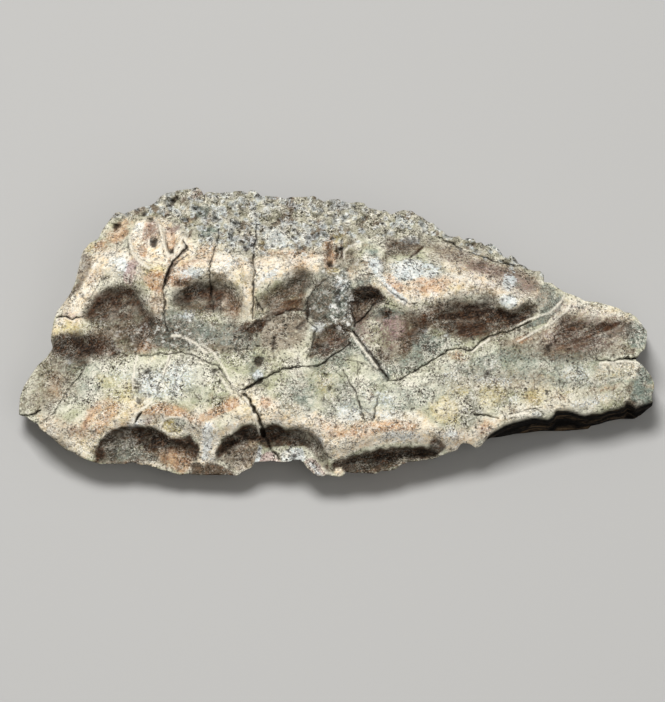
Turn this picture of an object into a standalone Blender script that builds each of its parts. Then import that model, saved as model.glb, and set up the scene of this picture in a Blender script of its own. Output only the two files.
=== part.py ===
"""Fossil amphibian scute: one broken piece of sculptured dermal bone.

It lies on its flat inner side with the pitted outer face upwards. The outer face
leans towards -Y. It is laid out in a drawing plane whose normal is FACE_ANGLE above
the floor: s runs along +X, t runs up the plane, and d is the depth along its normal.
Lists of points are in millimetres, and the part is in metres with +Z up.
"""

import math

import bmesh
import bpy
import numpy as np
from mathutils import Vector, noise

MM = 0.001

# Driving dimensions, millimetres
FACE_ANGLE = math.radians(60.0)
SHIFT_Y = 4.0           # brings the origin under the middle of the piece
RIM_LEAST = 1.3         # the thinnest broken edge
WALL_ROUGHNESS = 0.45
WALL_SPACING = 2.2
LUMP_HEIGHT = 0.7       # lumps of the spongy band
LUMP_SPACING = 2.6
SWELL_HEIGHT = 0.35     # slow swells over the whole face
SWELL_SPACING = 7.5
BAND_DROP = 2.5         # how far behind the crest the spongy band starts
REST_SNAP = 0.02        # places lower than this lie on the floor

# The flat slab that is shaped: its thickness, its remesh size and the facets that are kept
SLAB = 4.0
FULL_SLAB = 0.96        # share of the thickness that lies between the two faces after the remesh
VOXEL = 0.8
FACETS = 9000
SLAB_MIDDLE = (0.0, -2.0)

# Outline of the piece in the drawing plane, clockwise from the thin left tip (s, t)
OUTLINE = (
    (-50.7, -13.1), (-50.6, -10.4), (-48.8, -6.9), (-46.4, -4.2), (-45.3, -2.6), (-45.6, -0.6),
    (-44.6, 3.4), (-42.6, 6.1), (-41.1, 10.6), (-40.3, 13.1), (-38.1, 14.9), (-36.3, 17.8),
    (-34.7, 19.2), (-32.8, 19.4), (-30.1, 20.2), (-27.2, 22.2), (-22.2, 23.2), (-21.3, 22.1),
    (-18.6, 22.4), (-14.9, 22.6), (-12.8, 22.6), (-12.0, 21.8), (-8.2, 21.4), (-5.1, 21.6),
    (-2.7, 21.3), (1.4, 21.0), (4.5, 20.6), (6.2, 19.7), (8.8, 18.9), (12.2, 19.4), (14.7, 17.6),
    (17.9, 15.4), (22.1, 14.9), (23.8, 13.8), (26.2, 13.0), (29.3, 10.9), (32.6, 9.8), (33.4, 8.2),
    (36.5, 6.4), (41.8, 4.8), (46.1, 3.2), (48.8, 1.4), (49.8, -0.6), (49.4, -2.7), (48.6, -4.0),
    (50.2, -6.7), (50.9, -9.0), (50.6, -11.8), (48.8, -13.3), (47.7, -13.9), (43.7, -14.2),
    (40.3, -15.5), (36.5, -15.8), (32.6, -15.8), (28.6, -16.3), (24.6, -17.0), (22.4, -18.6),
    (20.3, -17.9), (18.6, -19.4), (14.4, -20.5), (10.4, -21.3), (7.2, -22.2), (1.6, -22.6),
    (-1.8, -23.0), (-4.6, -21.8), (-6.9, -20.5), (-11.8, -20.5), (-13.8, -21.9), (-16.0, -22.9),
    (-23.7, -22.7), (-26.6, -22.4), (-30.1, -21.3), (-36.0, -21.1), (-39.4, -20.6), (-43.2, -18.9),
    (-47.4, -15.5), (-49.4, -13.6),
)

# Front lip of the outer face at the right, with the broken wall below it (s, t).
# Left of it the face runs out to the outline itself.
LIP = (
    (21.5, -30.0), (22.4, -18.6), (24.3, -16.5), (25.9, -15.4), (28.3, -14.2), (31.8, -13.4),
    (34.6, -13.4), (35.2, -12.3), (39.8, -13.1), (42.4, -12.8), (45.1, -12.0), (46.4, -11.0),
    (48.6, -11.8), (50.9, -10.9),
)
LIP_RECESS = 0.7

# Spot heights above the floor (s, t, z): the broad shape of the outer face
RIM_HEIGHTS = (
    (-35.4, 18.9, 11.5), (-28.2, 21.8, 12.0), (-21.8, 23.0, 12.3), (-13.8, 22.7, 12.3),
    (-5.8, 21.8, 12.3), (2.2, 21.0, 12.2), (10.2, 19.5, 12.0), (16.6, 16.3, 12.0),
    (23.0, 14.4, 11.5), (29.4, 10.9, 11.2), (33.9, 8.2, 10.8), (40.6, 5.0, 10.3),
    (48.0, 2.4, 9.8), (-40.5, 12.8, 11.8), (-42.6, 6.1, 10.5), (-45.3, -0.6, 9.0),
    (-48.8, -6.9, 7.0), (-50.7, -13.1, 5.0),
)
CREST_HEIGHTS = (
    (-34.9, 11.2, 15.0), (-28.2, 11.2, 16.0), (-20.2, 11.8, 17.0), (-12.2, 11.8, 17.3),
    (-4.2, 11.2, 17.2), (2.2, 9.9, 17.0), (10.2, 7.5, 16.3), (16.6, 7.5, 15.6),
    (23.0, 7.5, 14.8), (28.6, 5.4, 13.8), (34.2, 4.8, 12.5),
)
BAND_HEIGHTS = (
    (-21.8, 17.6, 15.0), (-10.6, 17.6, 15.3), (2.2, 16.3, 15.4), (13.4, 13.9, 14.6),
    (24.6, 11.0, 13.2),
)
FLOOR_HEIGHTS = (
    (-42.6, -2.1, 9.8), (-34.6, 0.3, 12.4), (-25.0, 0.3, 13.2), (-13.8, 1.1, 13.8),
    (-2.6, 1.1, 14.0), (7.0, 0.3, 13.8), (16.6, -1.3, 13.0), (26.2, -0.5, 12.3),
    (35.8, 0.3, 11.3), (43.8, 0.3, 10.3), (-45.8, -8.5, 7.8), (-37.8, -6.9, 10.5),
    (-28.2, -6.1, 12.0), (-17.0, -6.1, 12.8), (-5.8, -6.1, 13.0), (5.4, -6.1, 12.8),
    (16.6, -6.1, 12.0), (27.8, -6.1, 11.0), (37.4, -5.3, 10.2), (47.0, -5.3, 9.0),
)
LOWER_HEIGHTS = (
    (-42.6, -13.3, 8.0), (-36.2, -12.5, 9.8), (-28.2, -12.5, 10.8), (-17.0, -12.5, 11.3),
    (-7.4, -12.8, 11.5), (0.6, -14.9, 11.0), (8.6, -14.9, 10.8), (16.6, -14.9, 10.0),
    (24.6, -13.3, 9.3), (32.6, -11.7, 8.6), (40.6, -10.6, 8.0), (48.6, -9.3, 7.6),
)
LIP_HEIGHTS = (
    (-46.6, -15.8, 6.2), (-42.6, -18.4, 6.0), (-37.8, -20.5, 5.5), (-31.4, -21.0, 5.5),
    (-23.7, -21.0, 5.2), (-15.8, -22.7, 4.8), (-9.0, -20.5, 6.0), (-1.8, -22.7, 5.3),
    (7.0, -22.1, 5.3), (15.0, -20.2, 5.6), (21.4, -18.2, 6.0),
)
FACE_HEIGHTS = (RIM_HEIGHTS + CREST_HEIGHTS + BAND_HEIGHTS + FLOOR_HEIGHTS
                + LOWER_HEIGHTS + LIP_HEIGHTS)

# Spot heights of the hidden inner side; below zero means that it lies flat on the floor
UNDER_RIM = (
    (-35.4, 18.9, 6.5), (-28.2, 21.8, 6.5), (-21.8, 23.0, 6.0), (-13.8, 22.7, 6.0),
    (-5.8, 21.8, 6.0), (2.2, 21.0, 6.0), (10.2, 19.5, 6.0), (16.6, 16.3, 6.0),
    (23.0, 14.4, 5.8), (29.4, 10.9, 5.5), (33.9, 8.2, 5.0), (40.6, 5.0, 4.2), (48.0, 2.4, 3.0),
    (-40.5, 12.8, 6.8), (-42.6, 6.1, 6.5), (-45.3, -0.6, 5.6), (-48.8, -6.9, 4.6),
    (-50.7, -13.1, 3.2), (-46.6, -15.8, 4.7), (-42.6, -18.4, 4.4), (-37.8, -20.5, 4.0),
    (-31.4, -21.0, 4.0), (-23.7, -22.1, 3.6), (-15.8, -22.7, 3.3), (-9.0, -20.5, 4.2),
    (-1.8, -22.7, 3.8), (7.0, -22.1, 3.8), (15.0, -20.2, 4.0), (21.4, -18.2, 3.8),
    (26.2, -16.6, 2.0), (32.6, -15.8, 0.0), (40.3, -15.5, 0.0), (47.7, -13.9, 0.3),
    (50.6, -10.9, 0.8), (50.2, -6.9, 1.5), (49.4, -1.3, 2.2),
)
UNDER_SLOPE = (
    (-28.2, 14.7, 1.5), (-12.2, 15.5, 1.2), (2.2, 13.9, 1.2), (16.6, 10.2, 1.2),
    (29.4, 5.1, 1.2), (40.6, 1.1, 1.5), (-36.2, 5.1, 1.5), (-38.6, -2.9, 1.5),
    (-41.0, -8.5, 2.2), (-44.2, -10.9, 3.2), (-37.8, -14.9, 1.5), (-25.0, -15.7, 0.8),
    (-12.2, -16.0, 0.8), (0.6, -17.3, 0.8), (13.4, -15.7, 0.6),
)
UNDER_FLAT = (
    (-28.2, 0.3, -0.8), (-12.2, 1.9, -1.0), (3.8, 1.1, -1.0), (19.8, -0.5, -0.8),
    (32.6, -2.9, -0.3), (-25.0, -9.3, -0.4), (-12.2, -10.1, -0.8), (2.2, -10.9, -0.8),
    (16.6, -10.9, -0.6), (29.4, -9.3, -0.5), (40.6, -8.5, -0.3),
)
INNER_HEIGHTS = UNDER_RIM + UNDER_SLOPE + UNDER_FLAT

# Ridges: path (s, t), half width, height
RIDGES = (
    (((-44.5, 3.2), (-41.0, 11.2), (-33.8, 10.6), (-29.8, 9.4), (-24.2, 10.2), (-17.8, 10.6),
      (-13.8, 9.9), (-7.4, 11.2), (-3.4, 9.4), (1.4, 8.3), (7.8, 7.5), (11.8, 5.4), (15.0, 5.8),
      (19.8, 7.7), (26.2, 6.7), (28.6, 4.6), (33.4, 5.1)), 2.0, 0.9),
    (((-46.6, -14.9), (-37.8, -14.9), (-33.0, -13.3), (-27.4, -12.5), (-23.4, -13.8),
      (-17.8, -14.6), (-13.8, -12.6), (-9.0, -12.6), (-5.8, -13.9), (-2.6, -15.8),
      (-0.2, -18.2), (3.0, -17.0), (6.2, -15.8), (10.2, -15.5), (15.0, -15.8), (18.2, -17.0),
      (22.2, -17.0), (26.2, -14.7), (31.8, -12.6), (40.6, -11.5), (46.2, -9.9)), 1.6, 0.8),
    (((-28.5, 9.0), (-28.0, 0.0)), 2.0, 0.9),
    (((-14.2, 9.0), (-14.0, 0.8)), 1.3, 1.0),
    (((-1.5, 8.0), (0.5, 0.0)), 1.8, 0.7),
    (((9.5, 6.5), (15.0, 1.0)), 2.2, 0.8),
)

# Pits: centre (s, t), half length, half height, turn in degrees, depth
PITS = (
    (-41.0, -2.3, 4.8, 2.0, -4.0, 1.6),
    (-35.2, 4.8, 4.6, 2.6, 0.0, 2.9),
    (-20.6, 5.6, 5.2, 2.7, 0.0, 2.9),
    (-7.2, 7.0, 3.6, 2.6, 8.0, 1.8),
    (4.9, 5.4, 2.8, 2.1, 0.0, 2.5),
    (24.2, 2.8, 8.4, 2.4, -3.0, 2.4),
    (41.0, 0.2, 6.0, 2.4, -20.0, 0.9),
    (-1.3, -1.9, 3.4, 2.0, 0.0, 0.7),
    (-29.0, 14.2, 3.2, 2.6, 10.0, 0.8),
    (-0.2, 12.3, 1.4, 2.6, 0.0, 1.6),
    (11.0, 13.1, 3.6, 1.4, -12.0, 0.9),
    (-42.5, -8.6, 2.6, 4.0, -25.0, 0.6),
)

# Scallops broken out of the front: upper edge (s, t), depth, how far down it fades
SCALLOPS = (
    (((-39.7, -19.2), (-37.6, -17.0), (-36.0, -15.7), (-33.6, -15.2), (-30.1, -15.2),
      (-27.4, -16.3), (-25.0, -17.0), (-22.4, -17.0), (-21.4, -19.2), (-20.8, -20.6)), 2.4, 3.2),
    (((-19.5, -19.8), (-18.2, -17.8), (-15.4, -15.7), (-13.8, -14.4), (-11.2, -14.2),
      (-7.5, -15.4), (-5.1, -15.7), (-2.9, -17.0), (-1.6, -19.2), (-1.3, -21.8)), 3.0, 3.0),
    (((-0.6, -21.6), (0.3, -20.0), (3.0, -19.7), (5.4, -18.6), (8.6, -18.1), (11.8, -17.8),
      (15.4, -18.2), (17.6, -19.2), (19.0, -19.7)), 2.6, 2.0),
)

BONE_COLOUR = (0.52, 0.48, 0.39, 1.0)
BONE_ROUGHNESS = 0.72


def clear_scene():
    """Remove whatever the start-up file holds."""
    for item in list(bpy.data.objects):
        bpy.data.objects.remove(item, do_unlink=True)


def in_row_frame(s, t, d):
    """Turn drawing-plane places and depths into row coordinates, in millimetres."""
    y = t * math.sin(FACE_ANGLE) - d * math.cos(FACE_ANGLE) + SHIFT_Y
    z = t * math.cos(FACE_ANGLE) + d * math.sin(FACE_ANGLE)
    return np.column_stack((s, y, z))


def depth_at_height(t, z):
    """Depth along the plane's normal that puts a place at height z."""
    return (z - t * math.cos(FACE_ANGLE)) / math.sin(FACE_ANGLE)


def thin_plate(r):
    """Radial basis r^2 log r of a thin-plate spline."""
    return np.where(r > 1e-9, r * r * np.log(np.maximum(r, 1e-9)), 0.0)


def through_spots(spots, s, t):
    """Smooth surface through spot heights, read at (s, t)."""
    known = np.array(spots)
    count = len(known)
    gaps = np.hypot(known[:, None, 0] - known[None, :, 0], known[:, None, 1] - known[None, :, 1])
    plane = np.column_stack((np.ones(count), known[:, :2]))
    left = np.block([[thin_plate(gaps), plane], [plane.T, np.zeros((3, 3))]])
    weights = np.linalg.solve(left, np.concatenate((known[:, 2], np.zeros(3))))
    reach = np.hypot(s[:, None] - known[None, :, 0], t[:, None] - known[None, :, 1])
    flat = weights[count] + weights[count + 1] * s + weights[count + 2] * t
    return thin_plate(reach) @ weights[:count] + flat


def distance_to_path(path, s, t):
    """Shortest distance from each place to an open path."""
    best = np.full(len(s), 1e9)
    for (s0, t0), (s1, t1) in zip(path[:-1], path[1:]):
        ds, dt = s1 - s0, t1 - t0
        along = np.clip(((s - s0) * ds + (t - t0) * dt) / (ds * ds + dt * dt), 0.0, 1.0)
        best = np.minimum(best, np.hypot(s - s0 - along * ds, t - t0 - along * dt))
    return best


def ridge_relief(s, t):
    """Rounded ridges that stand between the pits."""
    relief = np.zeros(len(s))
    for path, half_width, height in RIDGES:
        relief += height * np.exp(-(distance_to_path(path, s, t) / half_width) ** 2)
    return relief


def pit_relief(s, t):
    """Flat-floored oval pits with steep sides."""
    relief = np.zeros(len(s))
    for s0, t0, half_length, half_height, turn, depth in PITS:
        angle = math.radians(turn)
        along = (s - s0) * math.cos(angle) + (t - t0) * math.sin(angle)
        across = (t - t0) * math.cos(angle) - (s - s0) * math.sin(angle)
        reach = np.hypot(along / half_length, across / half_height)
        relief -= depth * np.exp(-(reach / 1.05) ** 3.5)
    return relief


def scallop_relief(s, t):
    """Hollows under the front ridge: a sharp upper edge over a floor that comes forward."""
    relief = np.zeros(len(s))
    for edge, depth, fade in SCALLOPS:
        places, levels = zip(*edge)
        below = np.interp(s, places, levels) - t
        inside = (s > places[0]) & (s < places[-1]) & (below > 0.0)
        from_end = np.minimum(s - places[0], places[-1] - s)
        strength = np.clip(from_end / 2.0, 0.0, 1.0) * np.clip(below / 0.5, 0.0, 1.0)
        relief -= np.where(inside, depth * strength * np.exp(-(below / fade) ** 2), 0.0)
    return relief


def lumps(s, t, spacing, seed):
    """Smooth noise at one spacing, from -1 to 1."""
    places = (Vector((a / spacing, b / spacing, seed)) for a, b in zip(s, t))
    return np.array([noise.noise(place) for place in places])


def band_share(s, t):
    """One on the spongy band behind the upper crest, nothing elsewhere."""
    crest = RIDGES[0][0]
    places, levels = zip(*crest)
    above = t - np.interp(s, places, levels) - BAND_DROP
    return np.clip(above / 1.5, 0.0, 1.0) * np.clip((s - places[1]) / 4.0, 0.0, 1.0)


def front_depth(s, t):
    """Depth of the outer face, with the broken wall that falls from its front lip."""
    places, levels = zip(*LIP)
    lip = np.interp(s, places, levels)
    level = np.maximum(t, lip)
    below = np.maximum(lip - t, 0.0)
    depth = depth_at_height(level, through_spots(FACE_HEIGHTS, s, level))
    depth += ridge_relief(s, level) + pit_relief(s, level) + scallop_relief(s, level)
    depth += band_share(s, level) * LUMP_HEIGHT * lumps(s, t, LUMP_SPACING, 0.7)
    depth += SWELL_HEIGHT * lumps(s, level, SWELL_SPACING, 2.3)
    recess = LIP_RECESS * np.clip(below / 0.6, 0.0, 1.0)
    return depth - math.tan(FACE_ANGLE) * below - recess


def back_depth(s, t, front):
    """Depth of the hidden inner side, which lies flat on the floor in the middle."""
    height = np.maximum(through_spots(INNER_HEIGHTS, s, t), 0.0)
    depth = np.minimum(depth_at_height(t, height), front - RIM_LEAST)
    return np.maximum(depth, depth_at_height(t, 0.0))


def slab_from_outline():
    """Fill the outline, give it the slab's thickness and remesh it into even quads."""
    curve = bpy.data.curves.new("outline", "CURVE")
    curve.dimensions = "2D"
    curve.fill_mode = "BOTH"
    curve.extrude = SLAB / 2.0
    line = curve.splines.new("POLY")
    line.points.add(len(OUTLINE) - 1)
    for point, (s, t) in zip(line.points, OUTLINE):
        point.co = (s, t, 0.0, 1.0)
    line.use_cyclic_u = True
    guide = bpy.data.objects.new("outline", curve)
    bpy.context.collection.objects.link(guide)
    bpy.context.view_layer.update()
    graph = bpy.context.evaluated_depsgraph_get()
    mesh = bpy.data.meshes.new_from_object(guide.evaluated_get(graph))
    bpy.data.objects.remove(guide, do_unlink=True)
    shape = bmesh.new()
    shape.from_mesh(mesh)
    bmesh.ops.remove_doubles(shape, verts=shape.verts, dist=0.001)
    bmesh.ops.recalc_face_normals(shape, faces=shape.faces)
    shape.to_mesh(mesh)
    shape.free()
    slab = bpy.data.objects.new("slab", mesh)
    bpy.context.collection.objects.link(slab)
    remesh = slab.modifiers.new("even quads", "REMESH")
    remesh.mode = "VOXEL"
    remesh.voxel_size = VOXEL
    bpy.context.view_layer.update()
    graph = bpy.context.evaluated_depsgraph_get()
    even = bpy.data.meshes.new_from_object(slab.evaluated_get(graph))
    bpy.data.objects.remove(slab, do_unlink=True)
    return even


def shape_scute(mesh):
    """Move every vertex of the slab to its place on the face, the rim or the inner side."""
    flat = np.empty(len(mesh.vertices) * 3)
    mesh.vertices.foreach_get("co", flat)
    s, t, level = flat.reshape(-1, 3).T.copy()
    share = np.clip(0.5 + level / (FULL_SLAB * SLAB), 0.0, 1.0)
    front = front_depth(s, t)
    back = back_depth(s, t, front)
    depth = back + share * (front - back)
    wall = 4.0 * share * (1.0 - share)
    rough = WALL_ROUGHNESS * wall * lumps(s, depth, WALL_SPACING, 4.2)
    out_s, out_t = s - SLAB_MIDDLE[0], t - SLAB_MIDDLE[1]
    length = np.maximum(np.hypot(out_s, out_t), 1.0)
    s = s + rough * out_s / length
    t = t + rough * out_t / length
    places = in_row_frame(s, t, depth)
    places[:, 2] = np.where(places[:, 2] < REST_SNAP, 0.0, places[:, 2])
    mesh.vertices.foreach_set("co", (places * MM).ravel())
    mesh.update()


def bone_material():
    """Mineralised bone: pale greenish grey, dull like unglazed stone."""
    material = bpy.data.materials.new("fossil_bone")
    material.use_nodes = True
    shader = material.node_tree.nodes["Principled BSDF"]
    shader.inputs["Base Color"].default_value = BONE_COLOUR
    shader.inputs["Roughness"].default_value = BONE_ROUGHNESS
    shader.inputs["Metallic"].default_value = 0.0
    return material


def make_scute(collection):
    """The whole piece as one closed, faceted solid."""
    mesh = slab_from_outline()
    mesh.name = "scute"
    shape_scute(mesh)
    mesh.materials.clear()
    mesh.materials.append(bone_material())
    scute = bpy.data.objects.new("scute", mesh)
    collection.objects.link(scute)
    quads_as_triangles = 2.0 * len(mesh.polygons)
    thin = scute.modifiers.new("fewer facets", "DECIMATE")
    thin.ratio = min(1.0, FACETS / quads_as_triangles)
    thin.use_collapse_triangulate = True
    return scute


def main():
    clear_scene()
    collection = bpy.data.collections.new("fossil_amphibian_scute")
    bpy.context.scene.collection.children.link(collection)
    make_scute(collection)


main()
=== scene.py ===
"""Looks of the fossil amphibian scute: one piece of sculptured dermal bone.

Features of the outer face are placed in the render's own frame of 665 by 702 pixels
(u to the right, v down), where one pixel is PIXEL millimetres at the piece. Depth is
in millimetres along the sight line, and every size that is not in pixels is a real one.
"""

import math
import re

import bmesh
import bpy
import numpy as np
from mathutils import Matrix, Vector


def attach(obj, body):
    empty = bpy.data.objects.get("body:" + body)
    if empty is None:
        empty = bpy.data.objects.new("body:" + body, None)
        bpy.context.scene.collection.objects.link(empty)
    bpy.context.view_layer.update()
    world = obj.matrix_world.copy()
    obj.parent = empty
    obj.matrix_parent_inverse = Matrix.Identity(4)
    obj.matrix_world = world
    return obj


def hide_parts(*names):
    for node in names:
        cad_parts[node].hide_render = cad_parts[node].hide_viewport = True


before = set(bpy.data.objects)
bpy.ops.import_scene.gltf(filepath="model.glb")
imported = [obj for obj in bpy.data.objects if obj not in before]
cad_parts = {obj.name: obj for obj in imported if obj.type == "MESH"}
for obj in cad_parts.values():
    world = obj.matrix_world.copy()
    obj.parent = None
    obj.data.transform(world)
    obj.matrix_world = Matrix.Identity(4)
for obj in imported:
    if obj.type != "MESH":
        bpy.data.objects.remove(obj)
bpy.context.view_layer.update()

MM = 0.001
PIXEL = 0.16                      # mm of bone to one pixel of the frame
PLAIN_U, PLAIN_V = 336.0, 332.0   # the pixel that looks at the drawing plane's zero
CENTRE_U, CENTRE_V = 332.5, 351.0  # the middle of the frame
MIDDLE_U, MIDDLE_V = 330.0, 345.0  # the middle of the piece
FRAME_TALL = 702.0
SIGHT_ANGLE = math.radians(60.0)  # how far above the table the camera stands
CAMERA_GAP = 700.0                # mm from the camera to the middle depth of the piece
MIDDLE_DEPTH = 11.0
SHIFT_Y = 4.0                     # brings the origin under the middle of the piece

COARSE = 3.0                      # pixels between mesh points on the hidden side
RIM_ROWS = 4
RIM_LEAST = 1.3                   # the thinnest broken edge
LATTICE = 97                      # cells to a side before the noise repeats
SCATTER = 61                      # cells to a side before the scattered points repeat
PLATE_UNIT = 100.0                # pixels to a unit where heights are put through spots
CRISP_EDGE = 2.5                  # a stain with a narrower edge than this is less ragged
STREAKS_FROM, STREAKS_FULL = 425.0, 560.0   # u where the brown turns streaky


def rows(text):
    """Numbers given as 'a,b,c a,b,c', one row to each word."""
    return np.array([[float(number) for number in word.split(",")] for word in text.split()])


# ---------------------------------------------------------------- outline and broad shape

OUTLINE = rows("""
19,415 19,410 20,397 24,386 31,375 38,365 46,358 53,348 51,341 51,336 54,320 57,311 63,304 70,294
75,283 79,266 81,257 83,251 90,243 98,239 103,229 109,221 115,213 119,212 124,214 131,211 141,207
148,206 155,203 160,197 166,193 173,192 179,190 191,189 197,187 201,190 203,196 207,192 219,193
231,192 236,191 243,191 246,194 251,190 256,191 261,196 270,196 279,197 285,199 291,197 304,197
314,196 319,199 324,202 328,200 338,199 345,202 351,203 357,202 364,203 368,208 375,209 380,211
385,210 391,215 396,212 404,210 412,211 417,215 422,217 428,222 433,223 438,228 444,232 448,236
454,237 459,236 463,240 468,238 474,239 476,243 481,242 485,246 490,243 495,246 500,251 503,256
507,258 511,255 515,258 519,264 525,266 528,269 534,271 540,271 544,275 544,282 552,283 555,286
564,292 573,295 580,298 585,301 597,302 608,305 618,308 624,312 630,313 636,317 641,323 644,328
647,331 647,336 646,344 645,349 640,353 638,357 635,360 640,363 645,368 651,376 654,383 654,390
652,394 652,400 653,402 652,406 648,409 641,415 634,419 620,419 609,421 600,424 591,426 588,429
576,430 564,431 552,431 540,431 526,433 515,434 500,437 490,438 485,441 481,446 476,448 470,444
463,443 461,444 457,450 448,453 440,456 434,459 426,460 418,461 409,462 401,465 396,469 389,471
381,471 376,474 363,473 353,473 346,472 343,476 339,477 327,475 320,477 314,474 307,468 304,463
300,460 293,460 288,462 281,462 270,461 258,462 254,463 251,468 246,470 241,473 237,476 229,475
220,475 207,475 197,475 188,474 179,475 170,472 158,469 148,465 140,465 133,462 125,464 111,464
100,464 90,461 80,457 73,452 66,450 60,445 53,439 46,433 40,429 38,424 31,421 27,417
""")

# Spot heights of the outer face above the floor: u, v, mm
FACE_HEIGHTS = rows(
    # rim
    "115,214,11.5 160,196,12 200,188,12.3 250,190,12.3 300,196,12.3 350,201,12.2 400,210,12 "
    "440,230,12 480,242,11.5 520,264,11.2 548,281,10.8 590,301,10.3 636,317,9.8 83,252,11.8 "
    "70,294,10.5 53,336,9 31,375,7 19,414,5 "
    # crest of the upper ridge and the spongy band behind it
    "118,262,15 160,262,16 210,258,17 260,258,17.3 310,262,17.2 350,270,17 400,285,16.3 "
    "440,285,15.6 480,285,14.8 515,298,13.8 550,302,12.5 "
    "200,222,15 270,222,15.3 350,230,15.4 420,245,14.6 490,263,13.2 "
    # floor between the pits, and the plateau
    "70,345,9.8 120,330,12.4 180,330,13.2 250,325,13.8 320,325,14 380,330,13.8 440,340,13 "
    "500,335,12.3 560,330,11.3 610,330,10.3 50,385,7.8 100,375,10.5 160,370,12 230,370,12.8 "
    "300,370,13 370,370,12.8 440,370,12 510,370,11 570,365,10.2 630,365,9 "
    # lower ridge and front lip
    "70,415,8 110,410,9.8 160,410,10.8 230,410,11.3 290,412,11.5 340,425,11 390,425,10.8 "
    "440,425,10 490,415,9.3 540,405,8.6 590,398,8 640,390,7.6 45,431,6.2 70,447,6 100,460,5.5 "
    "140,463,5.5 188,463,5.2 237,474,4.8 280,460,6 325,474,5.3 380,470,5.3 430,458,5.6 470,446,6"
)

# Spot heights of the inner side; below zero it lies flat on the floor
INNER_HEIGHTS = rows("""
115,214,6.5 160,196,6.5 200,188,6 250,190,6 300,196,6 350,201,6 400,210,6 440,230,6 480,242,5.8
520,264,5.5 548,281,5 590,301,4.2 636,317,3 160,240,1.5 260,235,1.2 350,245,1.2 440,268,1.2
520,300,1.2 590,325,1.5 83,252,6.8 70,294,6.5 53,336,5.6 31,375,4.6 19,414,3.2 110,300,1.5
95,350,1.5 80,385,2.2 60,400,3.2 160,330,-0.8 260,320,-1 360,325,-1 460,335,-0.8 540,350,-0.3
180,390,-0.4 260,395,-0.8 350,400,-0.8 440,400,-0.6 520,390,-0.5 590,385,-0.3 45,431,4.7 70,447,4.4
100,460,4 140,463,4 188,470,3.6 237,474,3.3 280,460,4.2 325,474,3.8 380,470,3.8 430,458,4
470,446,3.8 500,436,2 540,431,0 588,429,0 634,419,0.3 652,400,0.8 650,375,1.5 645,340,2.2
100,425,1.5 180,430,0.8 260,432,0.8 340,440,0.8 420,430,0.6
""")

# Front lip at the right, with the broken wall below it; left of it the face runs to the rim
LIP = rows("""
470,560 476,448 481,446 485,440 488,435 493,431 498,428 505,424 513,421 522,419 529,417 535,416
542,417 548,418 553,415 556,409 568,409 572,410 580,413 585,414 592,412 601,412 608,409 618,407
624,405 627,401 632,404 636,407 642,404 648,402 654,400
""")

# Tops of the two long ridges
UPPER_CREST = rows("""
58,312 66,292 80,262 100,265 125,267 150,273 185,268 225,266 250,270 270,267 290,262 315,273
345,280 385,285 410,298 430,296 460,284 500,290 515,303 545,300
""")

LOWER_CREST = rows("""
45,425 75,428 100,425 130,415 165,410 190,418 208,428 225,423 250,411 280,411 300,419 320,431
335,446 355,438 375,431 400,429 430,431 450,438 475,438 500,424 535,411 590,404 625,394
""")

# Where the spongy band starts: u, and how many pixels behind the upper crest
BAND_START = rows("60,44 110,46 150,52 180,42 200,24 230,14 300,12 330,28 360,40 400,55 440,57 "
                  "460,38 500,28 520,36 545,25")

# Ridges: half width in pixels, height in mm, path
RIDGES = (
    (12.0, 0.9, UPPER_CREST),
    (10.0, 0.8, LOWER_CREST),
    (12.0, 0.8, rows("158,275 161,300 162,332")),
    (7.0, 1.0, rows("247,275 249,300 249,326")),
    (9.0, 0.7, rows("326,282 332,305 340,330")),
    (13.0, 0.8, rows("395,290 415,310 432,328")),
    (5.0, 0.5, rows("250,270 235,262 222,270 210,270")),
    (3.0, 0.9, rows("130,238 133,252 139,261 149,269")),
    (2.4, 0.9, rows("159,222 162,232 164,246 168,258")),
    (2.4, 0.9, rows("184,228 181,240 176,251 171,260")),
    (5.0, 0.5, rows("346,236 350,252 346,268")),
    (5.0, 0.5, rows("322,236 320,252 324,270")),
)

# Shallow dips: centre u, v, half length, half height, turn in degrees, depth in mm
DIPS = rows("""
148,242,12,16,0,1.3 170,241,6,14,-6,1.3 334,255,7,17,0,1.7 405,249,24,9,14,0.9 68,386,18,26,-25,0.5
455,372,26,12,20,0.35 120,350,20,8,-20,0.5 265,318,20,7,20,0.5 395,340,14,24,20,0.6
150,330,16,12,0,0.5
""")

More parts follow.
